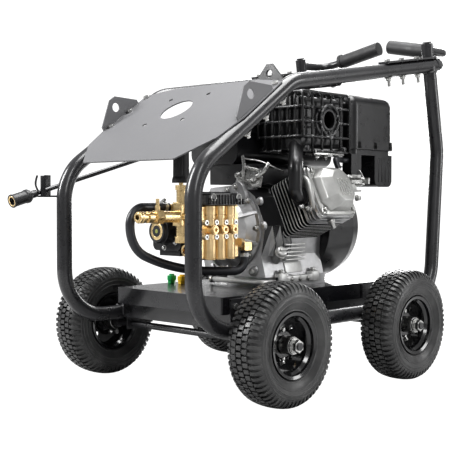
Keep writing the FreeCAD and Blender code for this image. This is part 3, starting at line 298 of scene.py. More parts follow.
add_finish("tip_yellow", (0.8, 0.52, 0.03), 0, 0.3, edge_wear_and_highlight=(0.9, 0.75, 0.3), relief=0.05)
add_finish("pump_case", (0.022, 0.022, 0.024), 0.3, 0.4, patch=0.2, edge_wear_and_highlight=0.3, relief=0.35,
           grain=420, depth=0.0005)
add_finish("manifold_metal", (0.74, 0.56, 0.32), 1, 0.36, patch=0.2, scale=38,
           edge_wear_and_highlight=(0.92, 0.8, 0.52), edge_wear_and_highlight_share=0.7, relief=0.2, grain=500)
add_finish("engine_alloy", (0.42, 0.42, 0.425), 0.7, 0.36, patch=0.1, scale=60, edge_wear_and_highlight=0.62,
           edge_wear_and_highlight_share=0.75, relief=0.45, grain=380, depth=0.0006)
add_finish("engine_black", (0.009, 0.009, 0.01), 0, 0.34, patch=0.25, edge_wear_and_highlight=0.12, relief=0.14,
           coat=0.2)
add_finish("cover_plastic", (0.01, 0.01, 0.011), 0, 0.32, patch=0.12, edge_wear_and_highlight=0.06, relief=0.22,
           grain=750)
add_finish("knob_plastic", (0.016, 0.016, 0.017), 0, 0.44, edge_wear_and_highlight=0.1, relief=0.2, grain=600)
add_finish("iron", 0.14, 0.8, 0.5, edge_wear_and_highlight=0.4, relief=0.5, grain=350)
add_tyre_finish("tyre_rubber")

# Finishes of single faces and pieces, beside the CAD's own slots
# Painted shade: near-black laid on the barrel's fins and in the gaps between them; its light edges are wear and a
# painted highlight.
add_finish("fin_gap_shade", (0.016, 0.016, 0.017), 0.3, 0.36, patch=0.25, edge_wear_and_highlight=0.6, edge_wear_and_highlight_share=0.85,
           relief=0.3, grain=420, edge=0.0012)
add_finish("alloy_bright", (0.4, 0.4, 0.39), 0.75, 0.4, patch=0.12, scale=26,
           edge_wear_and_highlight=(0.75, 0.75, 0.74), edge_wear_and_highlight_share=0.7, relief=0.14, grain=520, depth=0.0004)
# Muffler cage: strong light edges, partly wear and partly a painted highlight standing in for reflections along
# the lattice's edges.
add_finish("cast_black", (0.016, 0.016, 0.017), 0.25, 0.3, patch=0.25, edge_wear_and_highlight=0.85, edge_wear_and_highlight_share=0.9,
           relief=0.35, grain=420, edge=0.0024, coat=0.25)
# Paler copy of the engine alloy: a painted highlight on the fin rims and on the crankcase feet, where light falls;
# the oil filler cap is made of it too.
add_finish("pale_alloy_and_highlight", (0.62, 0.62, 0.61), 0.5, 0.42, patch=0.15, scale=40,
           edge_wear_and_highlight=(0.9, 0.9, 0.89), edge_wear_and_highlight_share=0.7, relief=0.15, grain=500)
add_finish("gauge_glass", (0.32, 0.34, 0.1), 0, 0.06, patch=0.3, relief=0.02, coat=1)

BRIGHT_CASTINGS = ("valve_cover", "carburettor")
FINS_START = 82 * MM
FIN_RIM_RISE = 56 * MM
FIN_RIM_WIDTH = 62 * MM


def dress_cad_nodes():
    for entry in frame["record"]["subparts"]:
        node = frame["nodes"][entry["node"]]
        finish = "alloy_bright" if entry["node"] in BRIGHT_CASTINGS else entry["material_slot"]
        node.data.materials.clear()
        node.data.materials.append(MATERIALS[finish])
        for face in node.data.polygons:
            face.material_index = 0
    paint_fin_shade(frame["nodes"]["crankcase"])


def paint_fin_shade(node):
    """Painted shade in the gaps between the barrel's fins, near-black, with the fins' outer rims in the paler
    alloy as a painted highlight.
    """
    crank = joint_point("drive_spin")
    centre = Place("valve_cover").middle
    node.data.materials.append(MATERIALS["fin_gap_shade"])
    node.data.materials.append(MATERIALS["pale_alloy_and_highlight"])
    for face in node.data.polygons:
        away = face.center - crank
        if away.dot(OUTWARD) > FINS_START:
            outer = abs(away.dot(UPWARD)) > FIN_RIM_RISE or abs(face.center.y - centre.y) > FIN_RIM_WIDTH
            rim = outer and abs(face.normal.dot(OUTWARD)) < 0.3
            face.material_index = 2 if rim else 1


# ---- mesh tools
def face_outward(bm):
    bmesh.ops.recalc_face_normals(bm, faces=bm.faces)


def link_object(name, data):
    thing = bpy.data.objects.new(name, data)
    bpy.context.scene.collection.objects.link(thing)
    return thing


def link_mesh(name, bm, finish):
    mesh = bpy.data.meshes.new(name)
    bm.to_mesh(mesh)
    bm.free()
    mesh.materials.append(MATERIALS[finish])
    return link_object(name, mesh)


def soften(bm):
    for face in bm.faces:
        face.smooth = True
    for edge in bm.edges:
        edge.smooth = len(edge.link_faces) == 2 and edge.calc_face_angle(0.0) < SHARP


def make_piece(name, bm, slot, body="machine", finish=None):
    """Turns bm into a piece of the visual model; its finish is its slot's unless one is named."""
    soften(bm)
    piece = link_mesh(name, bm, finish or slot)
    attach(piece, body)
    return piece


def round_edges(bm, radius, segments=2, limit=SHARP):
    face_outward(bm)
    edges = [e for e in bm.edges if len(e.link_faces) == 2 and e.calc_face_angle(0.0) > limit]
    bmesh.ops.bevel(bm, geom=edges, offset=radius * MM, segments=segments, profile=0.5, affect="EDGES",
                    clamp_overlap=True)


def merge(bm, part):
    """Moves a finished mesh into bm."""
    mesh = bpy.data.meshes.new("part")
    part.to_mesh(mesh)
    part.free()
    bm.from_mesh(mesh)
    bpy.data.meshes.remove(mesh)


def add_caps(bm, first, last):
    bm.faces.new(list(reversed(first)))
    bm.faces.new(last)


def add_walls(bm, low, high):
    """Faces between two rings of equally many vertices."""
    for i in range(len(low)):
        j = (i + 1) % len(low)
        bm.faces.new([low[i], low[j], high[j], high[i]])


def add_lathe(bm, profile, matrix, segments=48):
    """Closed surface of revolution about the matrix's Z, from a closed list of (radius, height)."""
    rings = []
    for radius, height in profile:
        spots = [polar(radius, 360 * i / segments, height) for i in range(segments if radius else 1)]
        rings.append([bm.verts.new(matrix @ spot) for spot in spots])
    for k, ring in enumerate(rings):
        other = rings[(k + 1) % len(rings)]
        if len(ring) == 1 and len(other) == 1:
            continue
        for i in range(segments):
            j = (i + 1) % segments
            corners = [ring[i % len(ring)], ring[j % len(ring)], other[j % len(other)], other[i % len(other)]]
            bm.faces.new(list(dict.fromkeys(corners)))


def lathe(profile, matrix, segments=48):
    bm = bmesh.new()
    add_lathe(bm, profile, matrix, segments)
    face_outward(bm)
    return bm


def add_prism(bm, outline, depth, matrix):
    """Straight extrusion of a flat outline along the matrix's Z."""
    low = [bm.verts.new(matrix @ mm(x, y, 0)) for x, y in outline]
    high = [bm.verts.new(matrix @ mm(x, y, depth)) for x, y in outline]
    add_caps(bm, low, high)
    add_walls(bm, low, high)


def rounded(width, height, radius, steps=5):
    points = []
    for cx, cy, start in ((1, 1, 0), (-1, 1, 90), (-1, -1, 180), (1, -1, 270)):
        for i in range(steps + 1):
            turn = radians(start + 90.0 * i / steps)
            x = cx * (width / 2 - radius) + radius * cos(turn)
            y = cy * (height / 2 - radius) + radius * sin(turn)
            points.append((x, y))
    return points


def smooth_line(points):
    """Points along a smooth open NURBS curve through the given control points."""
    curve = bpy.data.curves.new("line", "CURVE")
    curve.dimensions = "3D"
    curve.resolution_u = 10
    spline = curve.splines.new("NURBS")
    spline.points.add(len(points) - 1)
    for target, point in zip(spline.points, points):
        target.co = (*point, 1.0)
    spline.order_u = 3
    spline.use_endpoint_u = True
    holder = bpy.data.objects.new("line", curve)
    mesh = bpy.data.meshes.new_from_object(holder)
    line = [v.co.copy() for v in mesh.vertices]
    bpy.data.objects.remove(holder)
    bpy.data.meshes.remove(mesh)
    bpy.data.curves.remove(curve)
    return line


def add_rod(bm, line, radius, sides=14, closed=False):
    """Round bar along a line of points, with flat ends unless closed."""
    rings = []
    side = None
    count = len(line)
    for i, point in enumerate(line):
        before = line[i - 1] if i or closed else point
        after = line[(i + 1) % count] if i < count - 1 or closed else point
        ahead = (after - before).normalized()
        if side is None:
            side = ahead.orthogonal().normalized()
        side = (side - ahead * side.dot(ahead)).normalized()
        up = ahead.cross(side)
        ring = []
        for k in range(sides):
            turn = tau * k / sides
            ring.append(bm.verts.new(point + radius * MM * (cos(turn) * side + sin(turn) * up)))
        rings.append(ring)
    for i in range(count if closed else count - 1):
        add_walls(bm, rings[i], rings[(i + 1) % count])
    if not closed:
        add_caps(bm, rings[0], rings[-1])


def rounded_path(points, radius, steps=5):
    """Straight runs through the points with each inner corner rounded."""
    path = [Vector(points[0])]
    for before, corner, after in zip(points, points[1:], points[2:]):
        corner = Vector(corner)
        back = Vector(before) - corner
        ahead = Vector(after) - corner
        reach = min(radius * MM, back.length * 0.49, ahead.length * 0.49)
        start = corner + back.normalized() * reach
        end = corner + ahead.normalized() * reach
        for i in range(steps + 1):
            t = i / steps
            path.append(start * (1 - t) ** 2 + corner * 2 * t * (1 - t) + end * t ** 2)
    path.append(Vector(points[-1]))
    return path


def add_coil(bm, start, end, radius, turns, wire, steps=12):
    """Helical spring between two points with a short straight tail at each end."""
    matrix = facing(start, end - start)
    length = (end - start).length / MM
    line = [start]
    for i in range(turns * steps + 1):
        line.append(matrix @ polar(radius, 360 * i / steps, length * (0.1 + 0.8 * i / (turns * steps))))
    line.append(end)
    add_rod(bm, line, wire, sides=6)


def add_boss(bm, base, axis, radius, height):
    """Cast round boss with a filleted foot and a machined rim."""
    profile = [(0, -height * 0.3), (radius * 1.35, -height * 0.3), (radius * 1.25, 0),
               (radius * 1.06, height * 0.25), (radius, height * 0.55), (radius * 0.98, height * 0.94),
               (radius * 0.90, height), (0, height)]
    add_lathe(bm, profile, facing(base, axis), 32)


def add_plate(bm, outline, thickness, matrix, edge=0.6):
    """Flat plate with rounded rims, cut from an outline in the matrix's XY plane."""
    plate = bmesh.new()
    add_prism(plate, outline, thickness, matrix)
    round_edges(plate, edge)
    merge(bm, plate)


def add_hex_head(bm, base, axis, flats, height, washer=True):
    """Hexagon head with a chamfered crown and a washer, standing on base along axis."""
    matrix = facing(base, axis)
    if washer:
        thick = 0.12 * flats
        rim = flats * 0.80
        add_lathe(bm, [(0, 0), (rim, 0), (flats * 0.84, thick * 0.5), (rim, thick), (0, thick)], matrix, 24)
        matrix = matrix @ shifted(0, 0, thick)
    across = flats / sqrt(3)
    rings = []
    for radius, level in ((across, 0), (across, height - 0.16 * height), (across * 0.88, height)):
        rings.append([bm.verts.new(matrix @ polar(radius, 60 * i, level)) for i in range(6)])
    low, middle, top = rings
    add_caps(bm, low, top)
    add_walls(bm, low, middle)
    add_walls(bm, middle, top)


def make_bolts(name, heads, body="machine"):
    """Zinc-plated heads: (seat, axis, width across flats, height) of each."""
    bm = bmesh.new()
    for head in heads:
        add_hex_head(bm, *head)
    make_piece(name, bm, "zinc_steel", body)


def add_bead(bm, centre, axis, radius, thickness, around=72, sides=8):
    """Rippled weld bead: a torus whose thickness varies in small scales."""
    matrix = facing(centre, axis)
    rings = []
    for i in range(around):
        turn = 360 * i / around
        local = thickness * (1.0 + 0.16 * sin(radians(turn) * 24))
        ring = []
        for k in range(sides):
            tilt = tau * k / sides
            point = polar(radius + local * cos(tilt), turn, local * sin(tilt))
            ring.append(bm.verts.new(matrix @ point))
        rings.append(ring)
    for i in range(around):
        here, there = rings[i], rings[(i + 1) % around]
        for k in range(sides):
            j = (k + 1) % sides
            bm.faces.new([here[k], there[k], there[j], here[j]])


def add_loft(bm, sections):
    """Closed skin through rings of equally many points."""
    rings = [[bm.verts.new(point) for point in ring] for ring in sections]
    add_caps(bm, rings[0], rings[-1])
    for low, high in zip(rings, rings[1:]):
        add_walls(bm, low, high)


def islands(node):
    """The separate solids of one CAD node, each a list of its points at rest."""
    bm = bmesh.new()
    bm.from_mesh(frame["nodes"][node].data)
    bmesh.ops.remove_doubles(bm, verts=bm.verts, dist=1e-6)
    left = set(bm.verts)
    groups = []
    for first in bm.verts:
        if first not in left:
            continue
        left.remove(first)
        pending = [first]
        group = []
        while pending:
            vert = pending.pop()
            group.append(vert.co.copy())
            for edge in vert.link_edges:
                other = edge.other_vert(vert)
                if other in left:
                    left.remove(other)
                    pending.append(other)
        groups.append(group)
    bm.free()
    return groups


# ---- wheels
TREAD_SIDES = (0, 12, 24, 34)
# (distance from the tyre's middle, depth below the tread) down the sidewall, then round the air space
SIDEWALL = ((39.5, 16.0), (42.5, 20.5), (43.2, 22.5), (44.0, 23.5), (44.4, 24.5), (43.6, 25.6), (44.1, 30.0),
            (44.9, 30.6), (44.9, 31.6), (44.0, 32.3), (43.4, 40.0), (44.3, 40.8), (44.2, 42.0), (43.0, 43.0),
            (40.5, 50.0), (36.2, 57.0), (36.5, 59.0), (33.5, 62.5), (30.0, 65.5))
AIR_SPACE = ((26.0, 65.5), (36.0, 50.0), (38.0, 30.0), (26.0, 14.0))


def add_lug(bm, sections, turn, half_turn, base):
    """One tread block: sections are (side, outer radius) pairs across the tyre."""
    rows = []
    for side, outer in sections:
        row = []
        for radius, spread in ((base(side), 1.0), (outer, 0.86)):
            for sign in SIDES:
                angle = turn + sign * half_turn * spread
                row.append(bm.verts.new(mm(side, radius * cos(angle), radius * sin(angle))))
        rows.append([row[0], row[2], row[3], row[1]])
    for a, b in zip(rows, rows[1:]):
        add_walls(bm, a, b)
    add_caps(bm, rows[0], rows[-1])


def tyre_mesh(radius, half_width):
    """Pneumatic cart tyre about X: ringed sidewalls, staggered centre blocks and shoulder lugs."""
    def crown(side):
        return radius - 8.75 * (abs(side) / half_width) ** 2.6

    def ground(side):
        return crown(side) - BLOCK_HEIGHT

    def centre_root(side):
        return ground(side) - 1

    def shoulder_root(side):
        return min(ground(side), radius - 15.5) - 7.5

    half = [(ground(side), side) for side in TREAD_SIDES]
    half += [(radius - depth, side) for side, depth in SIDEWALL]
    profile = half + [(r, -side) for r, side in reversed(half[1:])]
    profile += [(radius - depth, -side) for side, depth in AIR_SPACE]
    profile += [(radius - depth, side) for side, depth in reversed(AIR_SPACE)]
    bm = bmesh.new()
    add_lathe(bm, profile, facing((0, 0, 0), X_AXIS), 144)
    pitch = tau / TREAD_ROWS
    shoulder = ((23.5, crown(23.5)), (30, crown(30)), (36, crown(36) - 1.5), (40.5, radius - 13.5),
                (42.8, radius - 19))
    for i in range(TREAD_ROWS):
        turn = i * pitch
        for middle, stagger in ((-15, 0), (0, 0.5), (15, 0)):
            sections = [(side, crown(side)) for side in (middle - 6, middle, middle + 6)]
            add_lug(bm, sections, turn + pitch * stagger, pitch * 0.385, centre_root)
        for sign in SIDES:
            sections = [(sign * side, top) for side, top in shoulder]
            add_lug(bm, sections, turn + pitch * 0.25, pitch * 0.29, shoulder_root)
    face_outward(bm)
    return bm


def build_wheel(name):
    """Treaded tyre, hub sleeve, rim bolts and tyre valve of one wheel."""
    tyre = Place("tyre_" + name)
    rim = Place("rim_" + name)
    body = "wheel_" + name
    axis = X_AXIS if tyre.middle.x > 0 else -X_AXIS
    bm = tyre_mesh(tyre.size.z / 2 / MM, tyre.size.x / 2 / MM)
    bmesh.ops.translate(bm, verts=bm.verts, vec=tyre.middle)
    piece = make_piece("tread_tyre_" + name, bm, "tyre_rubber", body)
    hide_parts("tyre_" + name)

    hub = facing(Vector((tyre.middle.x, rim.middle.y, rim.middle.z)), axis)
    bm = lathe([(17.7, 9), (19.4, 9), (19.4, 31), (18.6, 33.2), (17.7, 33.6)], hub)
    add_lathe(bm, [(17.7, -9), (19.4, -9), (19.4, -40), (18.6, -42), (17.7, -42.4)], hub)
    add_lathe(bm, [(9.2, 35.6), (17.2, 35.9), (17.2, 36.15), (9.2, 36.2)], hub)
    face_outward(bm)
    make_piece("hub_sleeve_" + name, bm, "zinc_steel", body)

    heads = [(hub @ polar(31, 90 * i, 1.8), axis, 10, 5) for i in range(4)]
    make_bolts("rim_bolts_" + name, heads, body)

    root = hub @ mm(-30, -45, 1)
    aim = (hub @ mm(-19, -29, 27) - root).normalized()
    stem = [(0, 0), (7, 0), (7, 2), (4.2, 6), (3.9, 20), (0, 20)]
    make_piece("valve_rubber_" + name, lathe(stem, facing(root, aim), 24), "hose_rubber", body)
    cap = [(0, 0), (4.6, 0), (4.6, 9), (3.2, 11), (0, 11)]
    make_piece("valve_cap_" + name, lathe(cap, facing(root + aim * 19.5 * MM, aim), 24), "zinc_steel", body)


def build_wheels():
    for name in WHEELS:
        build_wheel(name)


# ---- frame
LONG_BOLT = 48 * MM
BOLT_HEAD = 5.5
RAIL_GRIP = 40.2
PANEL_GRIP = 38.2


def build_weld_beads():
    """Welds of the lifting bar, of the rear bow's seams and of the rear uprights' tops."""
    bar = Place("lifting_bar")
    bow = Place("rear_bow")
    along = Vector((0, cos(RAIL_SLOPE), sin(RAIL_SLOPE)))
    lean = Vector((0, -41.9, 228.0)).normalized()
    bar_seam = Vector((0, bar.middle.y, bar.low.z)) + mm(0, 0, 15)
    rear = Vector((0, bow.low.y, bow.low.z))
    bm = bmesh.new()
    for sign in SIDES:
        add_bead(bm, bar_seam + mm(sign * (RAIL_X - 17), 0, 0), X_AXIS, 15.2, 2.2)
        add_bead(bm, rear + mm(sign * RAIL_X, 5, 20), along, 17.2, 1.7)
    for sign in SIDES:
        add_bead(bm, rear + mm(sign * RAIL_X, -12, -2), lean, 17.6, 2.2)
    make_piece("weld_beads", bm, "frame_black")


def end_centre(points, direction):
    """Centre of the flat end that lies furthest along direction."""
    reach = max(p.dot(direction) for p in points)
    flat = [p for p in points if p.dot(direction) > reach - 0.05 * MM]
    return sum(flat, Vector()) / len(flat)


def build_frame_nuts():
    """Washer and nut on the thread end of each long bolt, tight under its tube."""
    rail_level = Place("rear_bow").low.z - 60 * MM
    nuts = []
    for points in islands("bolts"):
        middle = sum(points, Vector()) / len(points)
        far = max(points, key=lambda p: (p - middle).length)
        if max((p - far).length for p in points) < LONG_BOLT:
            continue
        slope, grip = (RAIL_SLOPE, RAIL_GRIP) if middle.z > rail_level else (PANEL_SLOPE, PANEL_GRIP)
        down = Vector((0, sin(slope), -cos(slope)))
        nuts.append((end_centre(points, -down) + down * (BOLT_HEAD + grip) * MM, down, 13, 6.5))
    make_bolts("frame_nuts", nuts)


# ---- pump
def build_pump_details():
    """Sight glass, cover bolts, case ribs, top cover ribs and rings, plugs and unloader rings."""
    case = Place("pump_crankcase")
    head = Place("pump_manifold")
    front = Vector((-17 * MM, case.low.y, head.middle.z + 2 * MM))

    ring = [(13, 0), (17, -0.5), (20.5, 0.5), (20.5, 3), (13, 3)]
    make_piece("sight_ring", lathe(ring, facing(front, Y_AXIS)), "collar_brass")
    glass = [(0, -0.2), (7, 0.1), (13, 1.2), (13, 3), (0, 3)]
    make_piece("sight_glass", lathe(glass, facing(front, Y_AXIS)), "tip_green", finish="gauge_glass")

    heads = [(front + upright(39, 60 * i + 20, 30.5), -Y_AXIS, 8, 4.5) for i in range(6)]
    make_bolts("pump_cover_bolts", heads)

    bm = bmesh.new()
    for i in range(7):
        matrix = moved(front, 1, 58 + 17 * i, 1) @ turned(90, "X")
        add_prism(bm, rounded(92, 104, 16, 4), 3, matrix)
    round_edges(bm, 0.6)
    make_piece("pump_case_ribs", bm, "pump_case")

    cover = Place("pump_top_cover")
    bm = bmesh.new()
    for fy in (0.14, 0.86):
        ring = [(6.2, 0), (8.6, 0), (9.0, 1.4), (7.8, 2.2), (6.6, 1.4)]
        add_lathe(bm, ring, facing(cover.at(1, fy, 0.60, dx=-0.4), X_AXIS), 32)
    face_outward(bm)
    make_piece("top_cover_rings", bm, "zinc_steel")

    bm = bmesh.new()
    for i in range(12):
        y = 5.5 + 9.4 * i
        top = -4 if 2 < i < 9 else -13
        add_rod(bm, [cover.at(1, 0, 0, 0.5, y, 1), cover.at(1, 0, 1, 0.5, y, top)], 2.6, 10)
    crest = Vector((0, cover.middle.y, cover.high.z))
    for x in (66, 86):
        add_rod(bm, [crest + mm(x, -34, 0), crest + mm(x, 34, 0)], 2.4, 10)
    make_piece("top_cover_ribs", bm, "pump_case")

    bm = bmesh.new()
    add_hex_head(bm, head.at(0.80, 1, 0.30, dy=-0.5), Y_AXIS, 17, 9, washer=False)
    plug = [(0, 0), (5.5, 0), (5.5, 6), (4.5, 7), (0, 7)]
    add_lathe(bm, plug, facing(head.at(0.80, 1, 0.30, dy=8), Y_AXIS), 24)
    for fy in (0.246, 0.5, 0.754):
        seat = [(0, 0), (10.5, 0), (10.5, 2.6), (12.5, 3.6), (0, 3.6)]
        add_lathe(bm, seat, facing(head.at(0.81, fy, 0, dz=0.2), Z_AXIS), 32)
    face_outward(bm)
    make_piece("manifold_plugs", bm, "manifold_metal")

    knob = joint_point("unloader_knob_turn")
    knob.z = Place("unloader_knob").low.z
    bm = bmesh.new()
    for drop in (15, 20):
        ring = [(10.3, 0), (11.4, 0.3), (11.4, 1.9), (10.3, 2.2)]
        add_lathe(bm, ring, facing(knob - mm(0, 0, drop), Z_AXIS), 40)
    face_outward(bm)
    make_piece("unloader_rings", bm, "collar_brass")


def build_hose_clamp(name, centre, axis, screw_side, radius=10.2):
    """Worm-drive clamp: perforated band, screw housing and slotted screw."""
    matrix = facing(centre, axis)
    bm = lathe([(radius, -4.5), (radius + 0.9, -4.5), (radius + 0.9, 4.5), (radius, 4.5)], matrix, 40)
    teeth = 26
    for i in range(teeth):
        place = matrix @ turned(360 * i / teeth, "Z") @ shifted(radius + 0.7, 0, -2.5)
        add_prism(bm, [(0, -0.5), (0.6, -0.5), (0.6, 0.5), (0, 0.5)], 5, place)
    housing = matrix @ turned(screw_side, "Z") @ shifted(radius + 3.4, -7, 0) @ turned(-90, "X")
    add_prism(bm, rounded(6.4, 8.4, 2), 14, housing)
    add_lathe(bm, [(0, 0), (3.6, 0), (3.6, 3.4), (2.6, 4.2), (0, 4.2)], housing @ shifted(0, 0, 14), 20)
    face_outward(bm)
    make_piece(name, bm, "zinc_steel")


def build_hose_clamps():
    upper = Vector((0, Place("unloader").low.y, 0)) + mm(14, 10, 417)
    lower = Vector((0, Place("bypass_hose").high.y, 0)) + mm(79, -10, 306)
    build_hose_clamp("clamp_top", upper, Y_AXIS, 60)
    build_hose_clamp("clamp_low", lower, Z_AXIS, -30)


# ---- engine
def build_engine_bolts():
    """Bolts of the valve cover, of the side cover and of the recoil housing."""
    cover = Place("valve_cover")
    side = joint_point("drive_spin")
    recoil = side.copy()
    side.y = Place("side_cover").high.y
    recoil.y = Place("recoil_housing").low.y
    corners = [(rise, cover.at(0, fy, 0).y) for rise in (50, -50) for fy in (0.10, 0.90)]
    heads = [(tilted(218, rise, y), OUTWARD, 10, 6) for rise, y in corners]
    heads += [(side + upright(92, 45 * i + 2, -9.5), -Y_AXIS, 10, 6) for i in range(8)]
    heads += [(recoil + upright(113, 60 * i + 10, 122), Y_AXIS, 8, 5) for i in range(6)]
    make_bolts("engine_bolts", heads)


def build_valve_cover():
    """Facetted valve cover: flange, dome with a broad near facet, crown ribs and hose barb."""
    y = Place("valve_cover").middle.y
    bm = bmesh.new()
    add_plate(bm, rounded(132, 124, 24), 6, cylinder_frame(212.1, 0, y), 1.2)
    rings = []
    for distance, dy, half_y, half_rise, corner in ((217, 0, 58, 55, 24), (223, 0, 57, 54, 24),
                                                    (236, 3, 50, 51, 24), (249, 13, 31, 39, 17)):
        matrix = cylinder_frame(distance, 0, y, dy)
        outline = rounded(2 * half_y, 2 * half_rise, corner, 1)
        rings.append([matrix @ mm(u, v, 0) for u, v in outline])
    dome = bmesh.new()
    add_loft(dome, rings)
    round_edges(dome, 2.2, 3, radians(12))
    merge(bm, dome)
    for dy in (-5, 4, 13, 22, 31):
        add_plate(bm, rounded(4, 44, 1.9, 4), 2.4, cylinder_frame(248.4, -4, y, dy), 0.5)
    add_rod(bm, [tilted(232, 44, y, 40), tilted(232, 64, y, 40)], 3.8, 20)
    piece = make_piece("facet_valve_cover", bm, "engine_alloy", finish="alloy_bright")
    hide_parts("valve_cover")


def build_crankcase_details():
    """Bosses, ribs, fillers and feet cast on the crankcase."""
    case = Place("crankcase")
    base = Place("base_tray").high.z
    front = Vector((0, case.low.y, 0))
    foot = Vector((0, case.low.y, base))
    bm = bmesh.new()
    for x, z in ((64, 268), (-76, 268), (78, 430), (-110, 300), (-110, 400), (90, 372)):
        add_boss(bm, front + mm(x, 1, z), -Y_AXIS, 8, 6)
    for y in (88, 170):
        for x in (-92, 92):
            add_boss(bm, foot + mm(x, y, 24), Z_AXIS, 11, 4)
    add_prism(bm, rounded(206, 118, 14), 4.5, moved(foot, 0, 129, 18.5))
    make_piece("crankcase_castings", bm, "engine_alloy")

    bm = bmesh.new()
    for x in (-88, -44, 44, 88):
        for y in (80, 178):
            add_plate(bm, rounded(24, 26, 7), 9, moved(foot, x, y, 19), 1.6)
    for rise in (62, 71, 80, 89, 98):
        add_plate(bm, rounded(24, 74, 3), 3.4, moved(foot, 93, 102, rise), 0.8)
    add_plate(bm, rounded(18, 150, 5), 15, moved(foot, 104, 108, 10), 1.6)
    for y in (48, 168):
        add_plate(bm, rounded(22, 30, 7), 24, moved(foot, 104, y, 8), 1.6)
    blank = moved(foot, 92.5, 104, 44) @ turned(74, "Y")
    add_plate(bm, rounded(26, 62, 3), 3, blank)
    wall = [foot + mm(-70, -3, 12), foot + mm(96, -3, 12), foot + mm(96, 60, 12)]
    add_rod(bm, rounded_path(wall, 14), 6.5, 16)
    # Feet in the paler alloy, a painted highlight: a lit copy of the crankcase's own alloy.
    make_piece("foot_castings", bm, "engine_alloy", finish="pale_alloy_and_highlight")

    heads = [(foot + mm(x, y, 27.5), Z_AXIS, 13, 8) for x in (-88, 88) for y in (80, 178)]
    heads.append((wall[0], -X_AXIS, 17, 10, False))
    heads += [(foot + mm(104, y, 32), Z_AXIS, 12, 7) for y in (48, 168)]
    heads += [(foot + mm(113, y, 17), X_AXIS, 8, 3) for y in (78, 108, 138)]
    make_bolts("foot_bolts", heads)

    bm = bmesh.new()
    out = Vector((0.80, -0.25, 0.54)).normalized()
    filler = front + mm(94, 44, 296)
    neck = [(0, -10), (13, -10), (13, 16), (15, 18), (15, 22), (0, 22)]
    add_lathe(bm, neck, facing(filler, out), 36)
    add_hex_head(bm, front + mm(60, -0.5, 262), -Y_AXIS, 14, 9)
    make_piece("oil_ports", bm, "engine_alloy", finish="alloy_bright")

    bm = bmesh.new()
    cap = [(0, 0), (12, 0), (12.6, 2), (12.6, 8), (11, 10), (0, 10)]
    add_lathe(bm, cap, facing(filler + out * 22 * MM, out), 28)
    add_plate(bm, rounded(20, 5, 2), 8, facing(filler + out * 32 * MM, out), 1)
    make_piece("oil_filler_cap", bm, "engine_alloy", finish="pale_alloy_and_highlight")


def build_head_details():
    """Spark plug, studs, port bosses and cover bolts of the tilted cylinder."""
    near = Place("valve_cover").middle.y - 72 * MM
    corners = [(rise, dy) for rise in (54, -54) for dy in (14, 130)]
    bm = bmesh.new()
    for rise, dy in corners:
        add_boss(bm, tilted(206, rise, near, dy), OUTWARD, 9.5, 5)
    for distance, rise in ((186, 38), (200, 20), (190, -34)):
        add_boss(bm, tilted(distance, rise, near, 13), -Y_AXIS, 10, 13)
    arm = ((196, 46, 8), (214, 30, 4), (208, -6, 3), (200, -40, 8))
    arm = [tilted(distance, rise, near, dy) for distance, rise, dy in arm]
    add_rod(bm, smooth_line(arm), 8.5, 16)
    make_piece("head_castings", bm, "engine_alloy", finish="alloy_bright")

    heads = [(tilted(distance, rise, near), -Y_AXIS, 12, 7) for distance, rise in ((186, 38), (190, -34))]
    heads += [(tilted(210.5, rise, near, dy), OUTWARD, 12, 7) for rise, dy in corners]
    make_bolts("head_bolts", heads)

    bm = bmesh.new()
    for rise in (-25, 25):
        spot = tilted(182, rise, near, -7)
        add_hex_head(bm, spot, -Y_AXIS, 13, 8, washer=False)
        add_rod(bm, [spot + mm(0, 10, 0), spot - mm(0, 13, 0)], 3.6, 12)
    make_piece("exhaust_nuts", bm, "zinc_steel")

    bm = bmesh.new()
    plug = [(0, 0), (9, 0), (9, 7), (6, 8), (5, 22), (0, 22)]
    add_lathe(bm, plug, facing(tilted(196, -66, near, 60), -UPWARD), 20)
    make_piece("spark_plug", bm, "zinc_steel")


def build_oval_cover():
    """Oval breather cover on the crankcase shoulder beside the barrel, with its two bolts."""
    seat = tilted(66, 60, Place("crankcase").low.y, 40)
    matrix = Matrix.Translation(seat) @ Matrix.Rotation(-CYLINDER_TILT, 4, "Y") @ turned(90, "X")
    depth = 52
    bm = bmesh.new()
    add_plate(bm, rounded(44, 62, 20, 8), depth, matrix, 2)
    make_piece("oval_cover", bm, "engine_alloy")
    make_bolts("oval_cover_bolts", [(matrix @ mm(0, y, depth), -Y_AXIS, 10, 6) for y in (-20, 20)])


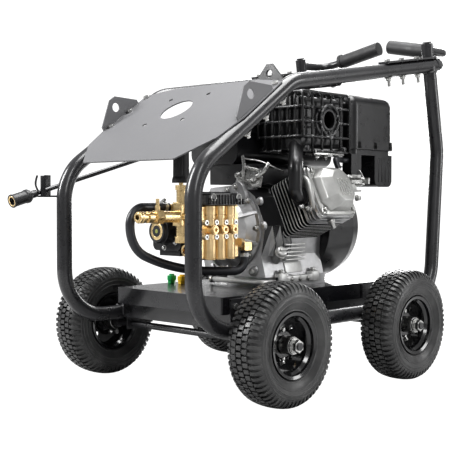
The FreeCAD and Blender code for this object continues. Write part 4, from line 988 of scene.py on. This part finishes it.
def build_carburettor_details():
    """Fuel stub, choke spindle and spring, link rod, bolts, bowl flange and bosses."""
    carb = Place("carburettor")
    bm = bmesh.new()
    stub = [carb.at(1, 0.2, 0.86), carb.at(1, 0.2, 0.86, dx=34), carb.at(1, 0.2, 0.86, dx=40, dy=5)]
    add_rod(bm, rounded_path(stub, 4), 3, 12)
    add_rod(bm, [carb.at(1, 0.45, 0.70, dx=-2), carb.at(1, 0.45, 0.70, dx=26)], 2.2, 12)
    add_coil(bm, carb.at(1, 0.45, 0.70), carb.at(1, 0.45, 0.70, dx=18), 4.2, 7, 0.7)
    add_hex_head(bm, carb.at(0.43, 0.67, 0, dz=1), -Z_AXIS, 12, 6)
    for fx in (0.2, 0.85):
        add_hex_head(bm, carb.at(fx, 0.10, 0.80, dy=-4), -Y_AXIS, 10, 6)
    link = [carb.at(1, 0.9, 0.8, dx=-4), carb.at(0.6, 0.9, 1, dz=12), carb.at(-0.4, 0.7, 1, dz=22)]
    add_rod(bm, rounded_path(link, 10), 1.5, 8)
    make_piece("carburettor_controls", bm, "zinc_steel")

    bm = bmesh.new()
    flange = [(22.2, -2), (24, -1), (24, 2), (22.2, 3)]
    add_lathe(bm, flange, facing(carb.at(0.43, 0.67, 0.32, dz=16), Z_AXIS), 40)
    add_boss(bm, carb.at(1, 0.30, 0.86, dx=-9), X_AXIS, 9, 8)
    add_boss(bm, carb.at(1, 0.62, 0.30, dx=-8), X_AXIS, 6, 8)
    make_piece("carburettor_castings", bm, "engine_alloy", finish="alloy_bright")


def build_control_linkage():
    """Governor plate, levers, springs, bolts and link rod on top of the crankcase shoulder."""
    front = Vector((0, Place("crankcase").low.y, 0))
    bm = bmesh.new()
    outline = [(-46, -22), (40, -22), (46, 2), (22, 24), (-10, 26), (-34, 12)]
    add_plate(bm, outline, 2.2, moved(front, 38, 6, 484) @ turned(90, "X"))
    arm = moved(front, 20, 3, 470) @ turned(90, "X")
    lever = [(-5, -4), (5, -6), (12, 46), (6, 70), (-2, 68), (2, 44)]
    add_plate(bm, lever, 2.6, arm)
    add_plate(bm, lever, 2.6, arm @ shifted(34, 8, 3) @ turned(-52, "Z"))
    add_coil(bm, front + mm(28, -2, 512), front + mm(86, -2, 500), 4, 14, 0.8)
    add_coil(bm, front + mm(8, -2, 486), front + mm(62, -2, 474), 3.4, 12, 0.7)
    for x, z in ((20, 470), (54, 478), (6, 492), (72, 488)):
        add_hex_head(bm, front + mm(x, 2, z), -Y_AXIS, 10, 6)
    rod = [front + mm(30, -1, 532), front + mm(78, 8, 524), front + mm(112, 46, 500)]
    add_rod(bm, rounded_path(rod, 20), 1.8, 8)
    make_piece("governor_linkage", bm, "zinc_steel")


def build_left_side_details():
    """Switch box, bosses, bolts and ribs on the engine's left side."""
    case = Place("crankcase")

    def left(fy, x, z):
        """Point on the left face: fraction of its width, mm beyond it and height in mm."""
        place = case.at(0, fy, 0)
        return Vector((place.x, place.y, 0)) + mm(x, 0, z)

    corners = [(fy, z) for fy in (0.06, 0.94) for z in (290, 405)]
    bm = bmesh.new()
    for fy in (0.12, 0.30, 0.48, 0.66, 0.84):
        matrix = Matrix.Translation(left(fy, 1.5, 300)) @ turned(180, "Z") @ turned(90, "X")
        add_prism(bm, [(0, 0), (9, 4), (9, 60), (0, 74)], 4, matrix)
    for fy, z in corners:
        add_boss(bm, left(fy, 1, z), -X_AXIS, 8, 6)
    make_piece("left_castings", bm, "engine_alloy")

    make_bolts("left_bolts", [(left(fy, -5, z), -X_AXIS, 10, 6) for fy, z in corners])

    bm = bmesh.new()
    front = Matrix.Translation(left(0.40, -12, 392)) @ turned(-90, "Y")
    add_plate(bm, rounded(52, 74, 6), 13.5, front @ shifted(0, 0, -13.5), 2)
    add_plate(bm, rounded(22, 30, 3), 3, front, 1)
    add_plate(bm, rounded(16, 12, 2), 6.5, front @ shifted(0, 6, 0), 1)
    make_piece("switch_box", bm, "knob_plastic")


# ---- wand
def build_wand_details():
    """Wire finger in front of the hook plate, and rings in the mouth of the wand's coupler."""
    collar = Place("lance_collar")
    root = Vector((collar.middle.x, collar.high.y, collar.high.z)) + mm(9, 16, -8)
    finger = [root, root + mm(-4, -6, 12), root + mm(-3, -9, 26), root + mm(4, -8, 40)]
    bm = bmesh.new()
    add_rod(bm, smooth_line(finger), 2.4, 10)
    make_piece("wand_hook", bm, "frame_black")

    axis = joint_axis("lance_collar_pull")
    if axis.y > 0:
        axis = -axis
    mouth = Vector((collar.middle.x, collar.low.y, collar.low.z)) - mm(0, 14.5 * axis.z, 14.5 * axis.y)
    matrix = facing(mouth, axis)
    lip = [(12.8, -2.6), (15.4, -2.6), (15.8, -0.6), (15.2, 1.2), (12.8, 1.2)]
    make_piece("coupler_lip", lathe(lip, matrix), "knob_plastic", "lance_collar")
    insert = [(9.3, 0), (9.3, 0.6), (12, 1), (12.7, 0.4), (12.7, 0)]
    make_piece("coupler_insert", lathe(insert, matrix), "collar_brass", "lance_collar")


# ---- exhaust
def build_muffler_cage():
    """Cast lattice guard: hoops round all three directions, broken round the outlet."""
    cage = Place("muffler_guard")
    outlet = opening_centre("exhaust_outlet")
    inset = Vector((CAGE_BAR, CAGE_BAR, CAGE_BAR)) * MM
    left, front, bottom = cage.low + inset
    right, back, top = cage.high - inset
    pipe_top = bottom + 30 * MM
    pipe_x = cage.at(0.55, 0, 0).x
    clear = 35 * MM

    def outlet_gap(offset):
        """Half of a bar's break where it passes the outlet at this offset, or zero."""
        return sqrt(max(0.0, clear ** 2 - offset ** 2))

    def beside_outlet(radius, turn, x=right):
        return Vector((x, outlet.y + radius * cos(turn), outlet.z + radius * sin(turn)))

    lines = []
    for k in range(6):
        y = front + (back - front) * k / 5
        start = pipe_top if k == 0 else bottom
        gap = outlet_gap(y - outlet.y)
        hoop = [(left, y, start), (left, y, top), (right, y, top)]
        if gap:
            lines.append(hoop + [(right, y, outlet.z + gap)])
            lines.append([(right, y, outlet.z - gap), (right, y, start)])
        else:
            lines.append(hoop + [(right, y, start)])
    for k in range(5):
        z = bottom + (top - bottom) * k / 4
        gap = outlet_gap(z - outlet.z)
        loop = [(right, front, z), (left, front, z), (left, back, z), (right, back, z)]
        if k == 0:
            lines.append([(right, cage.at(0, 0.3, 0).y, z), *loop[:0:-1], (pipe_x - 4 * MM, front, z)])
        elif gap:
            lines.append([(right, outlet.y - gap, z), *loop, (right, outlet.y + gap, z)])
        else:
            lines.append([loop[i] for i in (2, 1, 0, 3, 2)])
    for k in range(1, 6):
        x = left + (right - left) * k / 6
        start = pipe_top if x > pipe_x else bottom
        lines.append([(x, front, start), (x, front, top), (x, back, top), (x, back, bottom)])
    bm = bmesh.new()
    for line in lines:
        add_rod(bm, rounded_path(line, 15), CAGE_BAR, 8)
    ring = []
    for i in range(48):
        turn = tau * i / 48
        point = beside_outlet(clear, turn)
        droop = 1.0 + 0.16 * max(0.0, -sin(turn)) ** 4
        point.z = outlet.z + (point.z - outlet.z) * droop
        ring.append(point)
    add_rod(bm, ring, CAGE_BAR * 1.1, 10, closed=True)
    for degrees in (20, 140, 270):
        turn = radians(degrees)
        spoke = [beside_outlet(clear, turn), beside_outlet(27 * MM, turn, right - 3 * MM)]
        add_rod(bm, spoke, CAGE_BAR * 0.9, 8)
    piece = make_piece("muffler_cage", bm, "engine_black", finish="cast_black")
    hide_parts("muffler_guard")

    bm = bmesh.new()
    for fy in (0.12, 0.88):
        for x, direction in ((left, -X_AXIS), (right, X_AXIS)):
            for z in (bottom + 8 * MM, top - 8 * MM):
                spot = Vector((x, cage.at(0, fy, 0).y, z)) - direction * 1.5 * MM
                add_boss(bm, spot, direction, 5.2, 4)
    make_piece("cage_bosses", bm, "engine_black", finish="cast_black")


def build_muffler_shell():
    """Ribs pressed in the silencer, the outlet's deflector and the bolted bracket beneath."""
    guard = Place("muffler_guard")
    skin = opening_centre("exhaust_outlet")
    skin.x = guard.high.x - 14 * MM
    bm = bmesh.new()
    collar = [(21.6, -3), (27, -3), (27.4, 8.6), (25.5, 10.2), (22.6, 10.2), (21.6, 8.6)]
    add_lathe(bm, collar, facing(skin, X_AXIS))
    side = Vector((skin.x, 0, 0))
    shell_low, shell_height = 556, 126
    for fraction in (0.22, 0.40, 0.58, 0.76):
        z = shell_low + fraction * shell_height
        for start, end in ((2, 46), (126, 146)):
            add_rod(bm, [side + mm(0, start, z), side + mm(0, end, z)], 2.6, 10)
    face_outward(bm)
    make_piece("muffler_pressings", bm, "engine_black")

    bm = bmesh.new()
    plate = Matrix.Translation(guard.at(1, 0.5, 0, -20, 14, -4.6))
    add_plate(bm, rounded(34, 118, 6), 3.2, plate)
    lip = Matrix.Translation(guard.at(1, 0.5, 0, -4.6, 14, -4.6))
    add_plate(bm, rounded(3, 112, 1.2, 2), 11, lip)
    make_piece("muffler_bracket", bm, "zinc_steel")

    bm = bmesh.new()
    for y in (-20, 16, 60):
        spot = guard.at(1, 0.5, 0, -20, y, -4.6)
        add_hex_head(bm, spot, -Z_AXIS, 12, 7)
        add_rod(bm, [spot, spot - mm(0, 0, 13)], 3, 12)
    make_piece("bracket_bolts", bm, "zinc_steel")


# ---- air cleaner, tank
def build_air_cleaner_details():
    """Clips along the cover's foot and ribs on the intake box."""
    cover = Place("air_cleaner_cover")
    base = Place("air_cleaner_base")
    bm = bmesh.new()
    for fy in (0.16, 0.50, 0.84):
        matrix = Matrix.Translation(cover.at(1, fy, 0, dx=-3.2, dz=11)) @ turned(90, "Y") @ turned(90, "Z")
        add_plate(bm, [(-9, -9), (9, -9), (7, 9), (-7, 9)], 3.2, matrix, 0.8)
    make_piece("cover_clips", bm, "cover_plastic", "air_cleaner_cover")
    bm = bmesh.new()
    for y in (-22.5, -7.5, 7.5, 22.5):
        add_rod(bm, [base.at(1, 0.80, 0, -0.6, y, 12), base.at(1, 0.80, 0, -0.6, y, 74)], 1.8, 10)
    make_piece("intake_box_ribs", bm, "cover_plastic")


def build_tank_details():
    """Bolts through the tank's seam flange."""
    tank = Place("fuel_tank")
    seam = 604.2 * MM
    places = ((0.04, 0.1), (0.04, 0.5), (0.04, 0.9), (0.96, 0.1), (0.96, 0.9))
    spots = [tank.at(fx, fy, 0) for fx, fy in places]
    make_bolts("tank_bolts", [(Vector((spot.x, spot.y, seam)), Z_AXIS, 10, 6) for spot in spots])


# ---- stage
def build_floor():
    add_floor_finish("pale_floor", 0.8, 1.8)
    bm = bmesh.new()
    bmesh.ops.create_circle(bm, cap_ends=True, radius=14.0, segments=64)
    floor = link_mesh("floor", bm, "pale_floor")
    floor.location = (0, 0, -0.0006)


def build_world():
    """White behind the object, a dim fill for diffuse light and a brighter one for reflections."""
    world = bpy.data.worlds.new("studio")
    bpy.context.scene.world = world
    g = Graph(world)
    ray = g.add("ShaderNodeLightPath").outputs

    def background(colour, strength):
        return g.add("ShaderNodeBackground", {"Color": rgba(colour), "Strength": strength}).outputs[0]

    sheen = g.mix_shaders(ray["Is Glossy Ray"], background((0.95, 0.97, 1.0), 0.10), background(1.0, 0.50))
    seen = g.mix_shaders(ray["Is Camera Ray"], sheen, background(1.0, 1.0))
    g.add("ShaderNodeOutputWorld", {0: seen})


def add_softbox(name, place, width, height, power, target=(0.0, 0.0, 0.42)):
    lamp = bpy.data.lights.new(name, "AREA")
    lamp.shape = "RECTANGLE"
    lamp.size = width
    lamp.size_y = height
    lamp.energy = power
    holder = link_object(name, lamp)
    holder.location = place
    aim = Vector(target) - Vector(place)
    holder.rotation_euler = aim.to_track_quat("-Z", "Y").to_euler()


def build_lights():
    add_softbox("key_left", (-1.9, -2.5, 2.2), 0.7, 2.0, 130.0)
    add_softbox("near_strip", (2.9, -1.6, 2.2), 0.5, 2.2, 36.0)
    add_softbox("right_side", (2.6, 2.2, 1.0), 0.6, 1.8, 22.0)
    add_softbox("top", (0.2, 0.3, 2.7), 2.4, 1.6, 100.0)
    add_softbox("back", (-1.6, 2.8, 1.3), 1.8, 1.6, 90.0)


def build_camera():
    data = bpy.data.cameras.new("camera")
    data.sensor_width = 36.0
    data.lens = 76.94
    data.clip_end = 60.0
    camera = link_object("camera", data)
    camera.location = (1.59585, -1.77347, 0.43863)
    camera.rotation_euler = (radians(90 - 1.64), 0, radians(44.08))
    bpy.context.scene.camera = camera


# ---- assembly
for build in (dress_cad_nodes, build_wheels, build_weld_beads, build_frame_nuts, build_pump_details,
              build_hose_clamps, build_engine_bolts, build_valve_cover, build_crankcase_details,
              build_head_details, build_oval_cover, build_carburettor_details, build_control_linkage,
              build_left_side_details, build_wand_details, build_muffler_cage, build_muffler_shell,
              build_air_cleaner_details, build_tank_details, build_floor, build_world, build_lights,
              build_camera):
    build()
bpy.context.scene.view_settings.view_transform = "Standard"
bpy.context.scene.view_settings.look = "Medium High Contrast"

bpy.context.view_layer.update()
